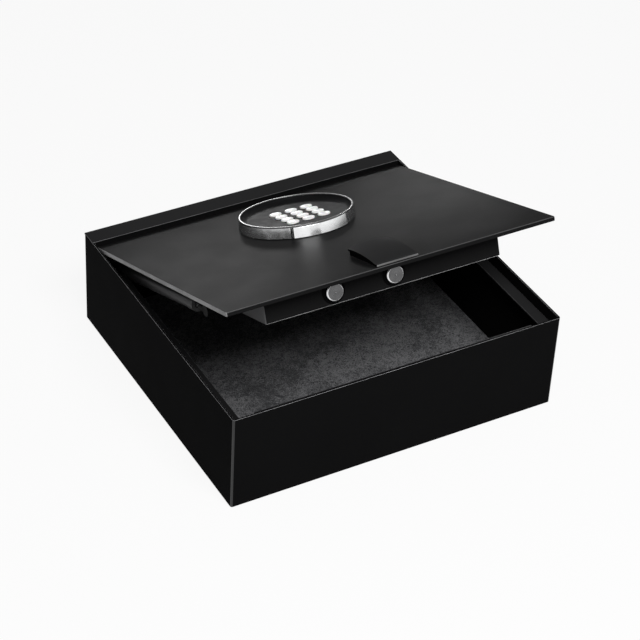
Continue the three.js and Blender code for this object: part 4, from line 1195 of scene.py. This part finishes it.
class BOX_OT_keys(bpy.types.Operator):
    """Build the twelve domed keys with their digits"""

    bl_idname = "strongbox.keys"
    bl_label = "Keys"
    signs = {"clear": "C", "enter": "E"}
    # The dome's outline: share of the cap's half width, and millimetres below its top
    dome = ((1.0, 1.5), (1.0, 1.1), (0.985, 0.86), (0.955, 0.62), (0.91, 0.42), (0.84, 0.26), (0.72, 0.13),
            (0.55, 0.05), (0.3, 0.01), (0.0, 0.0))
    flange_sheet = 1.3 * MM
    flange_chamfer = 0.2 * MM
    flange_inset = 0.02
    sign_size = 5.4 * MM
    sign_over = 0.01 * MM
    sign_under = 0.2 * MM
    dome_drop = 0.13 * MM
    dome_share = 0.72

    def execute(self, context):
        for name in KEY_NAMES:
            self.cap(name)
        return {"FINISHED"}

    def cap(self, name):
        """A domed cap on its flange, with its sign."""
        low, high = extent(f"key_{name}", KEYPAD)
        centre, half_x, half_y = key_size(name)
        flange = (high.x - low.x) / 2 / half_x
        ledge = low.z + self.flange_sheet
        profile = [(0.0, low.z), (flange - self.flange_inset, low.z), (flange, low.z + self.flange_chamfer)]
        profile += [(flange, ledge), (1.0, ledge)]
        profile += [(share, high.z - drop * MM) for share, drop in self.dome]
        vertices, faces = turned(profile, segments=48)
        vertices = [(x * half_x, y * half_y, z) for x, y, z in vertices]
        sign_vertices, sign_faces = self.sign(self.signs.get(name, name), high.z, half_x, half_y)
        kinds = [0] * len(faces) + [1] * len(sign_faces)
        first = len(vertices)
        vertices += sign_vertices
        faces += [tuple(first + i for i in face) for face in sign_faces]
        place = KEYPAD @ Matrix.Translation((centre.x, centre.y, 0))
        piece = new_piece(f"key_cap_{name}", vertices, faces, ("key", "digit"), place, face_finish=kinds)
        seat(piece, f"button_{name}", f"key_{name}")

    def sign(self, text, top, half_x, half_y):
        """A digit or letter that follows the dome of the cap, a hair under its top."""
        curve = bpy.data.curves.new("digit", "FONT")
        curve.body = text
        curve.size = self.sign_size
        curve.align_x = "CENTER"
        curve.align_y = "CENTER"
        curve.extrude = 0.1 * MM
        curve.resolution_u = 3
        writing = bpy.data.objects.new("digit", curve)
        bpy.context.scene.collection.objects.link(writing)
        bpy.context.view_layer.update()
        mesh = settled(writing)
        points = [vertex.co.copy() for vertex in mesh.vertices]
        shift_x = (max(p.x for p in points) + min(p.x for p in points)) / 2
        shift_y = (max(p.y for p in points) + min(p.y for p in points)) / 2
        vertices = []
        for point in points:
            x, y = point.x - shift_x, point.y - shift_y
            share = math.hypot(x / half_x, y / half_y)
            height = top - self.dome_drop * (share / self.dome_share) ** 3
            vertices.append((x, y, height - (self.sign_over if point.z > 0 else self.sign_under)))
        faces = [tuple(polygon.vertices) for polygon in mesh.polygons]
        bpy.data.objects.remove(writing)
        return vertices, faces


class BOX_OT_hinge(bpy.types.Operator):
    """Build the hinge plates, pins and lid ears"""

    bl_idname = "strongbox.hinge"
    bl_label = "Hinge"

    def execute(self, context):
        # Plates and ears take the painted edge highlight on their roundings.
        plating = ("plated", "plated edge highlight")
        edge = 0.3 * MM
        for side in SIDES:
            from_frame(f"side_bracket_{side}", f"hinge_plate_{side}", plating, edge)
            from_frame(f"lid_ear_{side}", f"hinge_ear_{side}", plating, edge, place=LID)
            from_frame(f"pivot_pin_{side}", f"hinge_pin_{side}", ("zinc",), 0.4 * MM)
        return {"FINISHED"}


class BOX_OT_struts(bpy.types.Operator):
    """Build the gas struts, their brackets and their studs"""

    bl_idname = "strongbox.struts"
    bl_label = "Gas struts"
    socket_length = 24.4 * MM

    def execute(self, context):
        edge = 0.3 * MM
        for side in SIDES:
            bracket, rod = f"strut_bracket_{side}", f"strut_rod_{side}"
            socket_end = extent(rod, LID)[0].y + self.socket_length
            from_frame(bracket, f"lift_bracket_{side}", ("lug",), edge, place=LID)
            from_frame(f"strut_stud_{side}", f"lift_stud_{side}", ("lug",), edge)
            from_frame(f"strut_cylinder_{side}", f"lift_tube_{side}", ("tube",), edge)
            from_frame(
                rod, f"lift_rod_{side}", ("rod", "socket"), edge, place=LID,
                choose=lambda centre, _, end=socket_end: int(centre.y < end),
            )
        return {"FINISHED"}


class BOX_OT_drive(bpy.types.Operator):
    """Build the bolt drive, the batteries and the control board"""

    bl_idname = "strongbox.drive"
    bl_label = "Bolt drive and power"

    def execute(self, context):
        steel = {"bolt_carriage": "bolt_bar", "gear_motor": "drive_motor", "drive_pinion": "motor_pinion"}
        for node, name in steel.items():
            from_frame(node, name, ("zinc",), 0.2 * MM, 2, place=LID)
        from_frame("battery_tray", "cell_tray", ("black",), 0.3 * MM, place=LID)
        from_frame("control_board", "lock_board", ("board",), 0.15 * MM, 2, place=LID)
        for number in range(1, 5):
            from_frame(f"battery_{number}", f"cell_{number}", ("cell",), 0.3 * MM, place=LID)
        return {"FINISHED"}


def seen_directly(tree):
    """One for what the camera, a mirror or glass sees, and zero for light that falls on the object."""
    path = tree.nodes.new("ShaderNodeLightPath")
    seen = path.outputs["Is Camera Ray"]
    for kind in ("Is Glossy Ray", "Is Transmission Ray"):
        either = tree.nodes.new("ShaderNodeMath")
        either.operation = "MAXIMUM"
        tree.links.new(seen, either.inputs[0])
        tree.links.new(path.outputs[kind], either.inputs[1])
        seen = either.outputs["Value"]
    return seen


class BOX_OT_stage(bpy.types.Operator):
    """Set the floor, the lamps, the world and the camera"""

    bl_idname = "strongbox.stage"
    bl_label = "Floor, lamps and camera"
    floor_half = 9.0
    floor_glow = 0.9
    world_light = 0.16
    camera_target = Vector((0.000448, -0.008019, 0.060))
    # Name, place, aim, width and depth, watts, and spread in degrees
    lamps = (
        ("lamp_key", (-0.15, -1.35, 1.95), (0.0, 0.0, 0.08), (1.3, 0.8), 45, 180.0),
        ("lamp_back", (0.25, 1.0, 0.2), (-0.2, -0.03, 0.18), (0.3, 0.2), 0.066, 31.0),
        ("lamp_corner", (0.62, 0.95, 0.2), (0.19, 0.12, 0.12), (0.2, 0.2), 0.017, 8.0),
    )

    def execute(self, context):
        settings = context.scene.box_stage
        self.floor(settings)
        self.world(context.scene)
        for lamp in self.lamps:
            self.lamp(*lamp)
        self.camera(context.scene, settings)
        return {"FINISHED"}

    def floor(self, settings):
        """A pale sheet of paper that shows as white and keeps the object's shadow."""
        half = self.floor_half
        corners = [(-half, -half, 0), (half, -half, 0), (half, half, 0), (-half, half, 0)]
        mesh = bpy.data.meshes.new("floor")
        mesh.from_pydata(corners, [], [(0, 1, 2, 3)])
        floor = bpy.data.objects.new("floor", mesh)
        bpy.context.scene.collection.objects.link(floor)
        recipe = Recipe("floor_paper", 0.8, specular=0.1)
        recipe.colour(recipe.mottled(settings.floor, 0.985, 1.0, scale=3.0, detail=6.0, ends=(0.2, 0.8)))
        glow = recipe.node("ShaderNodeEmission", Color=WHITE, Strength=1.0)
        mixed = recipe.node("ShaderNodeMixShader")
        share = recipe.maths("MULTIPLY", seen_directly(recipe.tree), self.floor_glow)
        recipe.feed(mixed.inputs["Fac"], share)
        recipe.feed(mixed.inputs[1], recipe.shader.outputs["BSDF"])
        recipe.feed(mixed.inputs[2], glow.outputs["Emission"])
        recipe.feed(recipe.tree.nodes["Material Output"].inputs["Surface"], mixed.outputs["Shader"])
        mesh.materials.append(recipe.material)

    def world(self, scene):
        """Dim light on the object, and white where the camera, a mirror or glass sees the world."""
        world = bpy.data.worlds.new("studio")
        scene.world = world
        world.use_nodes = True
        tree = world.node_tree
        light = tree.nodes["Background"]
        white = tree.nodes.new("ShaderNodeBackground")
        for background, strength in ((light, self.world_light), (white, 1.0)):
            background.inputs["Color"].default_value = WHITE
            background.inputs["Strength"].default_value = strength
        mixed = tree.nodes.new("ShaderNodeMixShader")
        tree.links.new(seen_directly(tree), mixed.inputs["Fac"])
        tree.links.new(light.outputs["Background"], mixed.inputs[1])
        tree.links.new(white.outputs["Background"], mixed.inputs[2])
        tree.links.new(mixed.outputs["Shader"], tree.nodes["World Output"].inputs["Surface"])
        scene.view_settings.view_transform = "Standard"

    def lamp(self, name, place, target, size, watts, spread):
        """A soft rectangular lamp aimed at a point."""
        light = bpy.data.lights.new(name, "AREA")
        light.shape = "RECTANGLE"
        light.size, light.size_y = size
        light.energy = watts
        light.spread = math.radians(spread)
        lamp = bpy.data.objects.new(name, light)
        bpy.context.scene.collection.objects.link(lamp)
        aim = Vector(target) - Vector(place)
        lamp.matrix_world = Matrix.Translation(place) @ aim.to_track_quat("-Z", "Y").to_matrix().to_4x4()

    def camera(self, scene, settings):
        """The camera at its bearing and height angle from the target, turned by its roll."""
        az, el, roll = settings.azimuth, settings.elevation, settings.roll
        back = Vector((math.sin(az) * math.cos(el), -math.cos(az) * math.cos(el), math.sin(el)))
        right = Vector((0.0, 0.0, 1.0)).cross(back).normalized()
        up = back.cross(right)
        turned_right = right * math.cos(roll) + up * math.sin(roll)
        turned_up = up * math.cos(roll) - right * math.sin(roll)
        axes = Matrix((turned_right, turned_up, back)).transposed().to_4x4()
        data = bpy.data.cameras.new("camera")
        data.sensor_width = 36.0
        data.lens = settings.lens
        camera = bpy.data.objects.new("camera", data)
        scene.collection.objects.link(camera)
        camera.matrix_world = Matrix.Translation(self.camera_target + back * settings.distance) @ axes
        scene.camera = camera


OPERATORS = (
    BOX_OT_case, BOX_OT_keeper, BOX_OT_felt, BOX_OT_lid, BOX_OT_pull, BOX_OT_bolts, BOX_OT_ring,
    BOX_OT_face, BOX_OT_keys, BOX_OT_hinge, BOX_OT_struts, BOX_OT_drive, BOX_OT_stage,
)


class BOX_PT_panel(bpy.types.Panel):
    """Lists the steps that build the strongbox, and its settings"""

    bl_idname = "BOX_PT_panel"
    bl_label = "Strongbox"
    bl_space_type = "VIEW_3D"
    bl_region_type = "UI"
    bl_category = "Strongbox"

    def draw(self, context):
        for operator in OPERATORS:
            self.layout.operator(operator.bl_idname)
        for name, group in SETTINGS:
            box = self.layout.box()
            for field in group.bl_rna.properties.keys():
                if field not in ("rna_type", "name"):
                    box.prop(getattr(context.scene, name), field)


CLASSES = tuple(group for _, group in SETTINGS) + OPERATORS + (BOX_PT_panel,)


def register():
    for entry in CLASSES:
        bpy.utils.register_class(entry)
    for name, group in SETTINGS:
        setattr(bpy.types.Scene, name, PointerProperty(type=group))


def unregister():
    for name, _ in SETTINGS:
        delattr(bpy.types.Scene, name)
    for entry in reversed(CLASSES):
        bpy.utils.unregister_class(entry)


def main():
    register()
    for operator in OPERATORS:
        group, action = operator.bl_idname.split(".")
        getattr(getattr(bpy.ops, group), action)()


if __name__ == "__main__":
    main()
